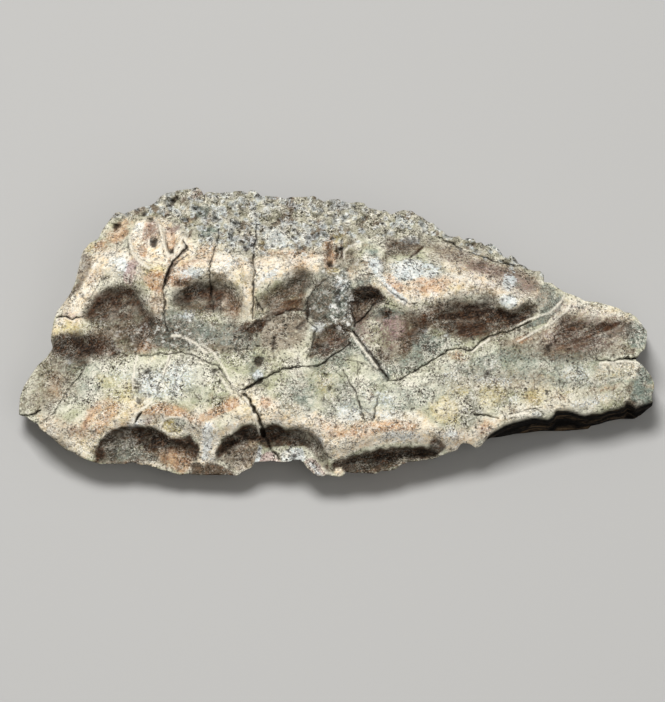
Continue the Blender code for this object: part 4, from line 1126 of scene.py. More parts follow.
def face_relief(u, v):
    """Depth of the outer face in mm along the sight line, and the masks it leaves."""
    warp_u = u + 3.5 * rough_noise(u, v, 18.0, 41)
    warp_v = v + 3.5 * rough_noise(u, v, 18.0, 44)
    lip = np.interp(u, LIP[:, 0], LIP[:, 1])
    below = np.maximum(v - lip, 0.0)
    level = np.minimum(v, lip)
    height = through_spots(FACE_HEIGHTS, u, level)
    depth = depth_at_height(level, height)
    for half_width, rise, path in RIDGES:
        depth += rise * np.exp(-(to_path(path, warp_u, warp_v)[0] / half_width) ** 2)
    for row in DIPS:
        depth -= row[5] * blob(row, warp_u, warp_v, 3.0)
    sunk, brown = hollow_field(u, v)
    depth -= sunk
    band = band_share(u, v)
    gap, draw, _ = scatter(warp_u, 1.15 * warp_v, LUMP_APART, 61)
    dome = np.cos(np.clip(gap / LUMP_RADIUS, 0.0, 1.0) * math.pi)
    depth += band * (LUMP_HEIGHT * dome + 0.4 * draw)
    along, across = RIB_COS * u - RIB_SIN * v, RIB_SIN * u + RIB_COS * v
    ribs = band * rough_noise(0.5 * along, across, 6.5, 77, 2)
    depth += 0.5 * ribs
    # small bumps, higher on the band, and slow swells over the whole face
    depth += (0.12 + 0.26 * band) * rough_noise(u, v, 7.0, 71)
    depth += 0.16 * rough_noise(u, v, 34.0, 74, 2)
    # pale veins, partly painted highlight on lit edges
    vein_and_highlight = np.zeros(len(u))
    for half_width, rise, path in VEINS_AND_LIT_EDGES:
        gap = to_path(path, u + soft_noise(u, v, 5.0, 55), v)[0]
        depth += rise * np.exp(-(gap / half_width) ** 2)
        vein_and_highlight = np.maximum(vein_and_highlight, ramp(gap, half_width + 0.6, half_width - 0.4))
    for cu, cv, radius, rise in GRAINS:
        reach = np.hypot(warp_u - cu, warp_v - cv) / radius
        depth += rise * np.sqrt(np.clip(1.0 - reach ** 2, 0.0, 1.0))
    crack_depth, crack_dark = crack_field(u, v)
    hole_depth, hole_dark = hole_field(u, v)
    pore_depth, pore_dark, pore_rim_highlight = pore_field(u, v, band)
    depth -= crack_depth + hole_depth + pore_depth
    # below the lip the wall falls straight down, a little back and in low beds
    recess = ramp(below, 0.0, 3.0) * (WALL_RECESS + 0.25 * np.sin(1.1 * below))
    depth -= math.tan(SIGHT_ANGLE) * below * PIXEL + recess
    # the wall mask marks the broken wall below the lip, which the material paints near-black,
    # partly as painted shade
    return depth, {"band": band, "crack": crack_dark, "hole": hole_dark, "pore": pore_dark,
                   "rim": pore_rim_highlight, "cleft": ramp(ribs, -0.12, -0.5),
                   "wall": ramp(below, 0.0, 2.5), "brown": brown, "vein_and_highlight": vein_and_highlight}


def depth_at_height(v, height):
    """Depth along the sight line that puts a pixel's place at a height above the floor."""
    t = (PLAIN_V - v) * PIXEL
    return (height - t * math.cos(SIGHT_ANGLE)) / math.sin(SIGHT_ANGLE)


def inner_depth(u, v, front):
    """Depth of the hidden inner side, with low growth lines where it leaves the floor."""
    height = np.maximum(through_spots(INNER_HEIGHTS, u, v), 0.0)
    lines = 0.18 * np.abs(rough_noise(u * 0.25, v, 9.0, 81)) + 0.1 * rough_noise(u, v, 14.0, 84)
    height = np.maximum(height + lines, 0.0)
    depth = np.minimum(depth_at_height(v, height), front - RIM_LEAST)
    return np.maximum(depth, depth_at_height(v, 0.0))


# ---------------------------------------------------------------- stains on the outer face

# Oval stains: centre u, v, half length, half height, turn in degrees, strength; the cream and chalk
# ovals on the column between the front hollows are partly painted highlight
PATCHES = {
    "brown": rows("""
436,262,10,6,20,0.4 500,335,30,5,-8,0.4 600,345,22,6,-10,0.4 345,345,8,5,0,0.4 96,452,10,6,-30,0.5
232,448,14,6,-40,0.5 313,434,8,6,30,0.5 150,345,6,4,0,0.4
"""),
    "taupe": rows("""
60,375,16,26,-40,0.3 235,330,14,18,20,0.2 225,350,24,8,0,0.15 335,310,22,22,0,0.4
355,325,12,14,0,0.7 420,318,20,14,-20,0.6 405,360,18,14,-30,0.5 430,345,18,12,-30,0.4
330,360,20,8,-20,0.5 262,362,20,12,0,0.4 255,380,12,8,0,0.4 485,262,40,8,26,0.45
440,246,24,8,24,0.5 345,262,12,16,0,0.5 120,240,20,12,-20,0.3 310,385,26,12,0,0.25
350,262,20,10,0,0.2 240,456,16,8,-30,0.5 235,462,16,8,-30,0.4 530,375,40,10,-10,0.3
60,420,24,6,30,0.3 515,300,30,12,26,0.3 470,290,20,6,10,0.3 318,300,8,20,0,0.3 120,320,20,8,20,0.4
"""),
    "dark": rows("""
148,372,4,4,0,0.3 375,364,8,5,45,0.5 324,285,6,12,-30,0.3 302,326,5,3,-20,0.5 426,346,6,8,-20,0.35
388,362,7,4,-20,0.3 565,386,12,3,-6,0.3 216,370,4,4,0,0.3 395,245,3,3,0,0.4 386,258,3,5,0,0.3
"""),
    "chalk": rows("""
118,264,10,10,20,0.8 278,238,8,7,0,0.7 405,272,16,9,0,0.8 509,281,7,8,0,0.8 376,266,8,8,0,0.7
340,284,6,6,0,0.9 257,375,6,6,0,0.6 318,328,8,4,-10,0.7 350,414,14,10,0,0.6 208,448,8,20,0,0.9
510,302,10,6,0,0.9 190,272,12,6,-10,0.7 230,262,14,8,-20,0.6 270,277,14,6,-20,0.6 190,316,8,6,0,0.6
183,375,14,16,0,0.5 445,336,6,4,-30,0.6 426,330,5,2,0,0.7 575,374,14,5,0,0.5 590,402,20,5,-8,0.5
132,426,12,5,-40,0.7 400,436,18,5,0,0.7 448,434,8,6,0,0.8 640,370,5,6,0,0.4 538,414,6,3,0,0.8
515,400,6,6,0,0.5 120,376,16,8,0,0.4 385,412,16,8,0,0.5 95,236,8,6,-30,0.3 150,235,5,5,0,0.4
70,362,6,4,0,0.6 318,440,6,6,60,0.6
"""),
    "cream": rows("""
85,265,14,28,-20,0.8 118,266,26,12,0,0.9 160,276,18,12,20,0.9 225,274,26,10,0,0.95
285,268,26,8,-8,1 315,262,14,10,0,0.6 395,288,22,10,20,0.9 440,284,34,10,-6,0.9
480,275,26,14,10,0.6 510,302,13,8,0,1 247,300,7,22,0,0.8 65,300,10,26,-20,0.8 66,330,14,7,-10,0.9
340,295,12,14,0,0.3 100,425,40,9,-6,0.8 170,417,40,8,2,0.9 208,435,10,20,0,1 250,408,24,12,0,0.9
300,417,24,8,18,0.9 330,440,14,12,60,1 370,434,30,8,-8,0.9 420,434,30,7,4,1 455,440,20,9,20,0.9
490,425,20,8,-30,0.8 540,408,40,6,-4,0.6 600,400,30,6,-6,0.5 470,436,10,8,0,0.9
237,466,12,8,-30,0.6 318,470,12,6,20,0.8 150,460,40,4,3,0.6 570,300,26,6,20,0.5 615,312,22,6,16,0.5
"""),
    "rust": rows("""
98,246,9,4,-30,0.6 118,233,9,5,-30,0.6 158,281,9,6,-10,0.8 179,280,9,6,-30,0.8
205,252,16,6,-30,0.35 262,263,12,4,-20,0.5 300,262,14,6,-10,0.4 440,282,20,6,0,0.35
420,284,12,4,-8,0.3 190,250,8,8,0,0.3 240,300,4,14,0,0.3 236,306,4,8,0,0.4 355,272,6,5,0,0.3
530,398,10,4,0,0.3 560,398,10,4,10,0.5 555,328,8,4,-20,0.5 105,405,6,12,40,0.5 225,408,12,4,-20,0.5
162,411,24,6,2,0.9 190,419,12,5,0,0.7 217,410,22,6,-28,0.8 266,402,6,5,0,0.8 328,427,14,6,30,0.6
357,433,14,5,-30,0.8 385,427,22,5,0,0.9 412,425,10,4,0,0.8 88,416,26,6,-52,0.7 152,280,12,8,0,0.7
180,280,14,8,0,0.8 393,284,8,7,0,0.8 330,256,6,14,0,0.9 420,288,26,6,0,0.4 290,255,26,5,0,0.6
230,262,30,5,0,0.4 120,228,18,6,-30,0.7 104,248,16,6,-40,0.5 456,357,9,5,0,0.7 525,339,14,3,-20,0.6
500,422,12,5,-30,0.3 485,428,10,8,0,0.5 181,455,8,8,0,0.7 560,350,18,4,-15,0.4
270,300,22,10,-20,0.3 140,252,12,6,0,0.4 605,388,20,4,-8,0.4
"""),
    "ochre": rows("""
155,268,14,6,10,0.5 240,280,8,6,0,0.5 88,250,6,5,0,0.4 150,272,10,5,0,0.4 455,290,10,5,0,0.5
262,246,4,6,0,0.5 105,380,10,6,0,0.5 250,408,10,10,0,0.4 152,360,8,5,0,0.4 66,328,15,8,-10,0.9
128,385,14,12,0,0.5 325,385,12,16,0,0.35 534,396,14,8,0,0.6 457,387,16,12,0,0.5
448,410,18,12,0,0.45 172,427,9,7,0,0.9 270,240,8,12,0,0.4 125,395,18,8,-40,0.4 610,372,30,6,-8,0.3
338,240,10,8,0,0.5 565,392,20,6,0,0.4
"""),
    "slate": rows("""
125,270,12,8,20,0.6 135,268,8,8,0,0.5 280,238,12,8,0,0.5 509,282,12,8,0,0.5 335,295,22,26,-30,0.7
345,330,14,14,0,0.5 300,395,24,12,20,0.35 255,377,8,8,0,0.8 200,395,24,10,0,0.3
180,375,20,10,0,0.25 425,344,14,10,0,0.4 208,232,10,5,-30,0.7 440,400,18,20,0,0.25
570,385,30,6,-5,0.4 640,338,8,12,0,0.6 395,400,30,16,0,0.2 140,330,18,8,-30,0.4
385,372,26,6,-40,0.5 360,352,16,5,45,0.6
"""),
    "rose": rows("""
130,268,10,9,0,0.7 137,262,6,6,0,0.5 393,286,8,8,0,0.4 270,457,12,5,0,0.7 310,468,9,7,0,0.5
148,420,6,5,0,0.6 98,296,10,5,0,0.3 70,316,10,4,0,0.5 485,430,10,8,0,0.4
"""),
}

# How suddenly the ovals of a stain end
PATCH_EDGES = {"brown": 3.0, "dark": 2.4}
PATCH_EDGE = 2.2


def stained_areas():
    """Rows of AREAS: the stains with their strengths, the width of the edge and the edge."""
    for stains, soft, edge in re.findall(r"((?:[a-z]+ \S+ )+)(\S+) ([^a-z]+)",
                                         " ".join(AREAS.split())):
        words = stains.split()
        yield list(zip(words[::2], map(float, words[1::2]))), float(soft), rows(edge)


def stain(patches, u, v, power):
    """How strongly each place is stained by the patches on it."""
    clear = np.ones(len(u))
    for row in patches:
        clear *= 1.0 - row[5] * blob(row, u, v, power)
    return 1.0 - clear


def stain_masks(u, v, masks):
    """Every stain's strength from 0 to 1, with ragged edges."""
    warp_u = u + 5.0 * rough_noise(u, v, 13.0, 91) + 2.0 * soft_noise(u, v, 4.0, 94)
    warp_v = v + 4.0 * rough_noise(u, v, 13.0, 95) + 2.0 * soft_noise(u, v, 4.0, 98)
    found = {name: np.zeros(len(u)) for name in ("gravel", "pored", "worn")}
    for name, patches in PATCHES.items():
        found[name] = stain(patches, warp_u, warp_v, PATCH_EDGES.get(name, PATCH_EDGE))
    found["brown"] = np.maximum(found["brown"], masks["brown"])
    # the pale rims round the pores add painted highlight to the chalk
    found["chalk"] = np.maximum(found["chalk"], 0.6 * masks["rim"])
    blurred, crisp = ragged(u, v, 1.5, 105), ragged(u, v, 0.7, 105)
    for stains, soft, path in stained_areas():
        inside = ramp(area(path, *(crisp if soft < CRISP_EDGE else blurred)), -soft, soft)
        for name, strength in stains:
            left = 1.0 - strength * inside
            if name == "clear":
                found = {other: values * left for other, values in found.items()}
            else:
                found[name] = 1.0 - (1.0 - found[name]) * left
    rise = 0.0012 * np.maximum(u - 430.0, 0.0) ** 2
    streaks = rough_noise(0.16 * u, v + rise, 3.4, 111)
    blotch = rough_noise(u, v, 8.0, 115)
    streaky = np.interp(u, (STREAKS_FROM, STREAKS_FULL), (0.2, 0.32)) * streaks
    patchy = np.where(u > STREAKS_FROM, streaky, 0.2 * blotch)
    for name in ("brown", "dark"):
        found[name] = np.clip(found[name] * (1.0 + 1.4 * patchy), 0.0, 1.0)
    found["band"] = masks["band"]
    found["taupe"] = np.maximum(found["taupe"], 0.8 * masks["cleft"])
    found["vein_and_highlight"] = masks["vein_and_highlight"]
    found["gap"] = np.maximum(masks["crack"], np.maximum(masks["hole"], masks["pore"]))
    found["wall"] = masks["wall"]
    return found


def inner_stains(u, v):
    """The quieter stains of the rim and the inner side: name, size in pixels, reach."""
    return {name: most * ramp(rough_noise(u, v, size, seed, 4), low, high)
            for name, most, size, seed, low, high in (
                ("taupe", 0.8, 46.0, 151, -0.25, 0.35), ("cream", 0.8, 60.0, 155, -0.05, 0.4),
                ("brown", 0.75, 34.0, 161, 0.2, 0.5), ("rust", 0.6, 40.0, 165, 0.15, 0.45),
                ("slate", 0.7, 30.0, 171, 0.1, 0.45), ("ochre", 0.5, 52.0, 175, 0.1, 0.4),
                ("dark", 0.6, 16.0, 181, 0.4, 0.6), ("worn", 0.5, 50.0, 185, -0.3, 0.3))}


# ---------------------------------------------------------------- from frame to row

def in_row_frame(u, v, depth):
    """Row coordinates in mm of places on the sight lines of pixels, at given depths."""
    nearer = 1.0 - (depth - MIDDLE_DEPTH) / CAMERA_GAP
    s = ((u - CENTRE_U) * nearer + CENTRE_U - PLAIN_U) * PIXEL
    t = (PLAIN_V - CENTRE_V - (v - CENTRE_V) * nearer) * PIXEL
    y = t * math.sin(SIGHT_ANGLE) - depth * math.cos(SIGHT_ANGLE) + SHIFT_Y
    z = t * math.cos(SIGHT_ANGLE) + depth * math.sin(SIGHT_ANGLE)
    return np.column_stack((s, y, z))


def make_scute():
    """The whole piece: blank slab, relief and masks."""
    shape = blank_slab()
    shape.verts.ensure_lookup_table()
    places = coordinates(shape.verts)
    u, v, share = places[:, 0], -places[:, 1], np.clip(places[:, 2], 0.0, 1.0)
    front, masks = face_relief(u, v)
    back = inner_depth(u, v, front)
    depth = back + share * (front - back)
    # the rim is drawn in halfway down, and noise carries on round it
    side = 4.0 * share * (1.0 - share)
    turn = depth / PIXEL
    round_u, round_v = u + 0.9 * turn, v + 0.6 * turn
    inset = side * (2.2 + 2.4 * rough_noise(round_u, round_v, 9.0, 101))
    out_u, out_v = u - MIDDLE_U, v - MIDDLE_V
    away = np.maximum(np.hypot(out_u, out_v), 1.0)
    found = stain_masks(u, v, masks)
    outer = ramp(share + 0.3 * rough_noise(round_u, round_v, 8.0, 141), 0.6, 0.9)
    hidden = inner_stains(round_u, round_v)
    mesh = bpy.data.meshes.new("scute_bone")
    row = in_row_frame(u - inset * out_u / away, v - inset * out_v / away, depth)
    row[:, 2] = np.maximum(row[:, 2], 0.0)
    for vert, place in zip(shape.verts, row * MM):
        vert.co = place
    shape.normal_update()
    shape.to_mesh(mesh)
    shape.free()
    for name, values in found.items():
        layer = mesh.attributes.new(name, "FLOAT", "POINT")
        shown = values * outer + hidden.get(name, 0.0) * (1.0 - outer)
        if name == "wall":
            shown = values * ramp(share, 0.05, 0.35)
        layer.data.foreach_set("value", shown.astype(np.float32))
    for polygon in mesh.polygons:
        polygon.use_smooth = True
    piece = bpy.data.objects.new("scute_bone", mesh)
    bpy.context.scene.collection.objects.link(piece)
    return piece


# ---------------------------------------------------------------- material

def linear(code):
    """A linear colour from an sRGB hex value."""
    parts = [int(code[i:i + 2], 16) / 255.0 for i in (1, 3, 5)]
    return [p / 12.92 if p <= 0.04045 else ((p + 0.055) / 1.055) ** 2.4 for p in parts] + [1.0]


def add(tree, kind, links=None, **settings):
    """Add a node with its settings; a link is a socket or a plain value."""
    made = tree.nodes.new(kind)
    for name, value in settings.items():
        setattr(made, name, value)
    for socket, source in (links or {}).items():
        if isinstance(source, bpy.types.NodeSocket):
            tree.links.new(source, made.inputs[socket])
        else:
            made.inputs[socket].default_value = source
    return made


# Every stain that the surface carries; the wall's near-black is partly painted shade, and the veins
# and the chalk are partly painted highlight
STAINS = ("brown", "taupe", "chalk", "dark", "gravel", "cream", "rust", "ochre", "slate", "rose",
          "band", "pored", "worn", "vein_and_highlight", "wall", "gap")

# Coats over the pale stone: the stain they follow, their darker and lighter colour, the
# size in mm of the change between these, their cover, and how much of it comes as stipple
COATS = (
    ("cream", "#f5dab0", "#fffaee", 1.6, 1.0, 0.15),
    ("band", "#656149", "#cac6b0", 1.0, 0.88, 0.4),
    ("gravel", "#585c52", "#a9ad9f", 1.2, 0.9, 0.5),
    ("taupe", "#483829", "#877663", 0.8, 0.95, 0.5),
    ("slate", "#57655f", "#92a197", 0.8, 0.9, 0.4),
    ("ochre", "#b59f58", "#eadca3", 1.2, 0.9, 0.5),
    ("rose", "#987279", "#d4b6b2", 0.6, 0.8, 0.6),
    ("rust", "#92552b", "#e0b384", 1.0, 0.85, 0.4),
    ("chalk", "#ccd8d8", "#fdffff", 0.8, 0.9, 0.7),
    ("brown", "#110602", "#4a2b18", 0.7, 0.98, 0.2),
    ("dark", "#070302", "#2a1a10", 0.6, 0.98, 0.3),
)

# Flecks over the coats: colour, size in mm, where in the noise they start and are full,
# their cover on plain, on stained and on worn ground, how much they thin out between the
# patches where they crowd, and whether they are drawn out along the fibres
FLECKS = (
    ("#fbf4e2", 1.9, 0.50, 0.62, 0.75, 0.03, 0.6, 0.3, False),
    ("#382d20", 1.9, 0.49, 0.37, 0.7, 0.5, 0.22, 0.5, False),
    ("#8b7f6c", 0.70, 0.50, 0.60, 0.2, 0.0, 0.45, 0.0, True),
    ("#f4edda", 0.55, 0.53, 0.61, 0.2, 0.03, 0.5, 0.0, True),
    ("#8c6a50", 0.30, 0.54, 0.61, 0.0, 0.42, 0.0, 0.5, True),
    ("#fffaec", 0.28, 0.55, 0.60, 0.7, 0.05, 0.6, 0.75, False),
    ("#1c140c", 0.27, 0.59, 0.63, 0.7, 0.8, 0.28, 0.85, False),
    ("#150e08", 0.48, 0.61, 0.64, 0.95, 0.5, 0.5, 0.75, False),
)

# Wisps, the thin winding lines of old growth and fine cracks: colour, size in mm of their
# bends, half width in the noise, cover
WISPS = (
    ("#4a3b2e", 2.2, 0.020, 0.65),
    ("#f6eedd", 1.5, 0.016, 0.45),
    ("#3a2f26", 0.9, 0.022, 0.5),
)

# Pores: mm between them, reach of a pore in its cell, share of the cells that have one,
# cover off the spongy band and on it
PORES = (
    (0.95, 0.36, 0.45, 0.15, 0.85),
    (0.5, 0.38, 0.35, 0.55, 0.75),
)


def cells(size):
    """Noise scale of a pattern whose features are size mm wide."""
    return 1.0 / (size * MM)


def coats(tree, place, fibres, stains):
    """Stains over the pale stone, each partly a film and partly a stipple, thick where strong."""
    # grains of 0.34 mm make the stipple
    grit = add(tree, "ShaderNodeTexNoise", {"Vector": place, "Scale": cells(0.34),
                                            "Detail": 1.5, "Roughness": 0.75})
    grains = add(tree, "ShaderNodeSeparateColor", {0: grit.outputs["Color"]}).outputs
    for turn, (name, low, high, size, cover, stippled) in enumerate(COATS):
        change = add(tree, "ShaderNodeTexNoise",
                     {"Vector": fibres if name in ("brown", "dark", "taupe") else place,
                      "Scale": cells(size), "Detail": 5.0, "Roughness": 0.85})
        spread = add(tree, "ShaderNodeMapRange", {"Value": change.outputs["Fac"],
                                                  "From Min": 0.4, "From Max": 0.6})
        coat = add(tree, "ShaderNodeMix", {0: spread.outputs[0], 6: linear(low),
                                           7: linear(high)}, data_type="RGBA")
        thick = add(tree, "ShaderNodeMath", {0: stains[name], 1: 0.5, 2: grains[turn % 3]},
                    operation="MULTIPLY_ADD")
        stipple = add(tree, "ShaderNodeMapRange", {"Value": thick.outputs[0],
                                                   "From Min": 0.67, "From Max": 0.77})
        there = add(tree, "ShaderNodeMapRange", {"Value": stains[name], "From Max": 0.12,
                                                 "To Max": cover})
        film = add(tree, "ShaderNodeMath", {0: stains[name], 1: cover}, operation="MULTIPLY")
        dots = add(tree, "ShaderNodeMath", {0: stipple.outputs[0], 1: there.outputs[0]},
                   operation="MULTIPLY")
        share = add(tree, "ShaderNodeMix", {0: stippled, 2: film.outputs[0],
                                            3: dots.outputs[0]})
        yield (share.outputs[0],), coat.outputs[2]


def flecks(tree, place, fibres, crowding, stained, smooth):
    """Small light and dark flecks, crowded in patches and thin on worn and stained ground."""
    for fleck, size, start, full, plain, on_stain, on_worn, thinned, drawn in FLECKS:
        grain = add(tree, "ShaderNodeTexNoise",
                    {"Vector": fibres if drawn else place, "Scale": cells(size),
                     "Detail": 5.0 if size > 0.5 else 1.0, "Roughness": 0.82})
        spot = add(tree, "ShaderNodeMapRange", {"Value": grain.outputs["Fac"],
                                                "From Min": start, "From Max": full})
        bare = add(tree, "ShaderNodeMapRange", {"Value": smooth, "To Min": plain,
                                                "To Max": on_worn})
        cover = add(tree, "ShaderNodeMix", {0: stained, 2: bare.outputs[0], 3: on_stain})
        crowd = add(tree, "ShaderNodeMapRange", {"Value": crowding, "From Min": 0.43,
                                                 "From Max": 0.57, "To Min": 1.0 - thinned,
                                                 "To Max": 1.0})
        yield (spot.outputs[0], cover.outputs[0], crowd.outputs[0]), linear(fleck)


def wisps(tree, place, crowding, soot):
    """Thin winding lines where a noise crosses its middle, fainter in the dark stains."""
    for wisp, size, half_width, cover in WISPS:
        bends = add(tree, "ShaderNodeTexNoise",
                    {"Vector": place, "Scale": cells(size), "Detail": 3.0, "Roughness": 0.6,
                     "Distortion": 0.6})
        middle = add(tree, "ShaderNodeMath", {0: bends.outputs["Fac"], 1: 0.5},
                     operation="SUBTRACT")
        away = add(tree, "ShaderNodeMath", {0: middle.outputs[0]}, operation="ABSOLUTE")
        line = add(tree, "ShaderNodeMapRange", {"Value": away.outputs[0],
                                                "From Min": half_width, "From Max": 0.0,
                                                "To Max": cover})
        crowd = add(tree, "ShaderNodeMapRange", {"Value": crowding, "From Min": 0.47,
                                                 "From Max": 0.55})
        bare = add(tree, "ShaderNodeMapRange", {"Value": soot, "To Min": 1.0, "To Max": 0.4})
        yield (line.outputs[0], bare.outputs[0], crowd.outputs[0]), linear(wisp)


def crystals(tree, place, gravel):
    """Pale and dark crystals, 1 mm across, in the broken stone."""
    facets = add(tree, "ShaderNodeTexNoise", {"Vector": place, "Scale": cells(1.0),
                                              "Detail": 3.0, "Roughness": 0.7})
    for crystal, start, full, cover in (("#f6f4ec", 0.55, 0.63, 0.75),
                                        ("#26251f", 0.46, 0.39, 0.7)):
        spot = add(tree, "ShaderNodeMapRange", {"Value": facets.outputs["Fac"],
                                                "From Min": start, "From Max": full,
                                                "To Max": cover})
        yield (spot.outputs[0], gravel), linear(crystal)


def pores(tree, pushed, spongy):
    """How dark the pores make each place, one socket for each size of pore."""
    for apart, reach, holding, off_band, on_band in PORES:
        cell = add(tree, "ShaderNodeTexVoronoi", {"Vector": pushed, "Scale": cells(apart)})
        pit = add(tree, "ShaderNodeMapRange", {"Value": cell.outputs["Distance"],
                                               "From Min": reach, "From Max": 0.4 * reach})
        held = add(tree, "ShaderNodeMath", {0: cell.outputs["Color"], 1: 1.0 - holding},
                   operation="GREATER_THAN")
        there = add(tree, "ShaderNodeMath", {0: pit.outputs[0], 1: held.outputs[0]},
                    operation="MULTIPLY")
        crowd = add(tree, "ShaderNodeMapRange", {"Value": spongy, "To Min": off_band,
                                                 "To Max": on_band})
        yield add(tree, "ShaderNodeMath", {0: there.outputs[0], 1: crowd.outputs[0]},
                  operation="MULTIPLY").outputs[0]


def hairlines(tree, pushed, patches):
    """Hairlines round plates about 3 mm across, seen here and there."""
    plate = add(tree, "ShaderNodeTexVoronoi", {"Vector": pushed, "Scale": cells(3.2)},
                feature="DISTANCE_TO_EDGE")
    line = add(tree, "ShaderNodeMapRange", {"Value": plate.outputs["Distance"],
                                            "From Min": 0.035, "From Max": 0.01})
    patch = add(tree, "ShaderNodeMapRange", {"Value": patches, "From Min": 0.48,
                                             "From Max": 0.56, "To Max": 0.6})
    return (line.outputs[0], patch.outputs[0]), linear("#3a3025")


def broken_beds_and_painted_shade(tree, place):
    """Colour of the broken front wall: near-black, its own dark brown deepened by painted shade,
    with thin paler beds 1 mm apart that lie flat.
    """
    flat = add(tree, "ShaderNodeMapping", {"Vector": place, "Scale": (6.0, 6.0, 1.0)},
               vector_type="TEXTURE")
    bed = add(tree, "ShaderNodeTexNoise", {"Vector": flat.outputs[0], "Scale": cells(1.0),
                                           "Detail": 4.0, "Roughness": 0.7})
    paler = add(tree, "ShaderNodeMapRange", {"Value": bed.outputs["Fac"], "From Min": 0.53,
                                             "From Max": 0.66})
    return add(tree, "ShaderNodeMix", {0: paler.outputs[0], 6: linear("#0a0705"),
                                       7: linear("#5c4c3a")}, data_type="RGBA").outputs[2]


def bone_material():
    """Mineralised bone: dull and chalky, pale where calcite fills it, dark in every pore;
    near-black on the broken front wall, partly painted shade, and pale with painted highlight on
    pore rims and lit vein edges.
    """
    material = bpy.data.materials.new("mineralised_bone")
    material.use_nodes = True
    tree = material.node_tree
    tree.nodes.clear()
    place = add(tree, "ShaderNodeTexCoord").outputs["Object"]
    stains = {name: add(tree, "ShaderNodeAttribute", attribute_name=name).outputs["Fac"]
              for name in STAINS}
    # a slow change of tone, 5 mm from patch to patch
    wide = add(tree, "ShaderNodeTexNoise", {"Vector": place, "Scale": cells(5.0)})
    tone = add(tree, "ShaderNodeMapRange", {"Value": wide.outputs["Fac"], "From Min": 0.35,
                                            "From Max": 0.65})
    colour = add(tree, "ShaderNodeMix", {0: tone.outputs[0], 6: linear("#b5b694"),
                                         7: linear("#dfddc9")}, data_type="RGBA").outputs[2]
    # bone fibres draw the stains out to three times their width, rising to the right
    fibres = add(tree, "ShaderNodeMapping", {"Vector": place, "Scale": (3.0, 1.0, 1.0),
                                             "Rotation": (0.0, 0.0, math.radians(22.0))},
                 vector_type="TEXTURE").outputs[0]
    # flecks crowd in patches 3 mm across
    crowding = add(tree, "ShaderNodeTexNoise", {"Vector": place, "Scale": cells(3.0),
                                                "Detail": 3.0}).outputs["Fac"]
    soot, smooth, spongy = [
        add(tree, "ShaderNodeMath", {0: stains[one], 1: stains[other]},
            operation="MAXIMUM").outputs[0]
        for one, other in (("dark", "brown"), ("cream", "worn"), ("band", "pored"))]
    stained = add(tree, "ShaderNodeMath", {0: soot, 1: stains["taupe"]},
                  operation="MAXIMUM").outputs[0]
    # pores and hairlines follow cells whose places are pushed about by 0.4 mm
    push = add(tree, "ShaderNodeTexNoise", {"Vector": place, "Scale": cells(0.8),
                                            "Detail": 2.0})
    pushed = add(tree, "ShaderNodeVectorMath", {0: push.outputs["Color"],
                                                1: (0.0012, 0.0012, 0.0012), 2: place},
                 operation="MULTIPLY_ADD").outputs[0]
    pits = list(pores(tree, pushed, spongy))
    # the layers in order, each with the sockets that multiply to its share
    layers = [
        *coats(tree, place, fibres, stains),
        *flecks(tree, place, fibres, crowding, stained, smooth),
        *wisps(tree, place, crowding, soot),
        *crystals(tree, place, stains["gravel"]),
        *(((pit,), linear("#2e281f")) for pit in pits),
        hairlines(tree, pushed, push.outputs["Fac"]),
        # pale veins, partly painted highlight on the lit edges of proud plates
        ((stains["vein_and_highlight"], 0.8), linear("#f1ead9")),
        # the broken front wall, near-black: its own dark brown deepened by painted shade
        ((stains["wall"],), broken_beds_and_painted_shade(tree, place)),
        ((stains["gap"], 0.9), linear("#241c15")),
    ]
    for (share, *parts), layer in layers:
        for part in parts:
            share = add(tree, "ShaderNodeMath", {0: share, 1: part},
                        operation="MULTIPLY").outputs[0]
        colour = add(tree, "ShaderNodeMix", {0: share, 6: colour, 7: layer},
                     data_type="RGBA").outputs[2]
    # a sugary grain of 0.3 to 0.6 mm roughens the light, and the pores go deeper
    rough = add(tree, "ShaderNodeTexNoise", {"Vector": place, "Scale": cells(0.6),
                                             "Detail": 4.0, "Roughness": 0.75})
    hollow = add(tree, "ShaderNodeMath", {0: pits[1], 1: pits[0]}, operation="MAXIMUM")
    grain = add(tree, "ShaderNodeMath", {0: rough.outputs["Fac"], 1: hollow.outputs[0]},
                operation="SUBTRACT")
    bump = add(tree, "ShaderNodeBump", {"Strength": 1.0, "Distance": 0.0004,
                                        "Height": grain.outputs[0]})
    shader = add(tree, "ShaderNodeBsdfPrincipled", {"Base Color": colour, "Roughness": 0.72,
                                                    "IOR": 1.5, "Specular IOR Level": 0.08,
                                                    "Normal": bump.outputs[0]})
    add(tree, "ShaderNodeOutputMaterial", {"Surface": shader.outputs[0]})
    return material


# ---------------------------------------------------------------- floor, light and camera

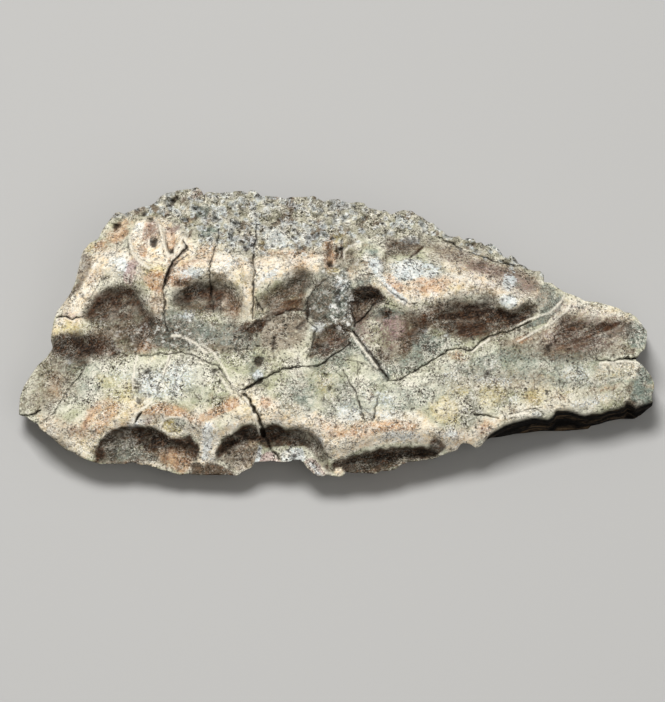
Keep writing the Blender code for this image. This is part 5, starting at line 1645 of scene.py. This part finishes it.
def make_floor():
    """Plain pale floor, with a soft matt finish."""
    shape = bmesh.new()
    bmesh.ops.create_grid(shape, x_segments=1, y_segments=1, size=2.0)
    bmesh.ops.translate(shape, verts=shape.verts, vec=(0.0, 0.0, -0.00005))
    mesh = bpy.data.meshes.new("floor")
    shape.to_mesh(mesh)
    shape.free()
    floor = bpy.data.objects.new("floor", mesh)
    bpy.context.scene.collection.objects.link(floor)
    material = bpy.data.materials.new("pale_paper")
    material.use_nodes = True
    shader = material.node_tree.nodes["Principled BSDF"]
    shader.inputs["Base Color"].default_value = linear("#a8a7a5")
    shader.inputs["Roughness"].default_value = 0.9
    mesh.materials.append(material)


def area_light(name, place, size, power):
    """A square soft box that faces the piece."""
    lamp = bpy.data.lights.new(name, "AREA")
    lamp.size = size
    lamp.energy = power
    light = bpy.data.objects.new(name, lamp)
    light.location = place
    towards = Vector((0.0, 0.0, 0.01)) - light.location
    light.rotation_euler = towards.to_track_quat("-Z", "Y").to_euler()
    bpy.context.scene.collection.objects.link(light)


def make_studio():
    """A key light from above and behind, a weak front fill and an even sky."""
    area_light("key", place=(-0.12, 0.17, 0.74), size=0.30, power=6.6)
    area_light("fill", place=(0.25, -0.5, 0.6), size=0.6, power=1.75)
    world = bpy.data.worlds.new("studio")
    world.use_nodes = True
    sky = world.node_tree.nodes["Background"]
    sky.inputs["Color"].default_value = linear("#e3e2dd")
    sky.inputs["Strength"].default_value = 0.3
    bpy.context.scene.world = world


def make_camera():
    """The camera stands over the front edge and looks down at the outer face."""
    data = bpy.data.cameras.new("camera")
    data.sensor_fit = "AUTO"
    data.sensor_width = 36.0
    data.lens = 36.0 * CAMERA_GAP / (FRAME_TALL * PIXEL)
    data.clip_start = 0.01
    camera = bpy.data.objects.new("camera", data)
    aim = in_row_frame(np.array([CENTRE_U]), np.array([CENTRE_V]), np.array([MIDDLE_DEPTH]))[0]
    out = np.array((0.0, -math.cos(SIGHT_ANGLE), math.sin(SIGHT_ANGLE)))
    camera.location = (aim + out * CAMERA_GAP) * MM
    camera.rotation_euler = (math.pi / 2.0 - SIGHT_ANGLE, 0.0, 0.0)
    bpy.context.scene.collection.objects.link(camera)
    bpy.context.scene.camera = camera


def main():
    bpy.context.scene.view_settings.view_transform = "Standard"
    make_camera()
    make_floor()
    make_studio()
    scute = make_scute()
    scute.data.materials.append(bone_material())
    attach(scute, "root")
    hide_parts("scute")
    triangles = sum(len(polygon.vertices) - 2 for polygon in scute.data.polygons)
    print("scute_bone:", triangles, "triangles")


main()
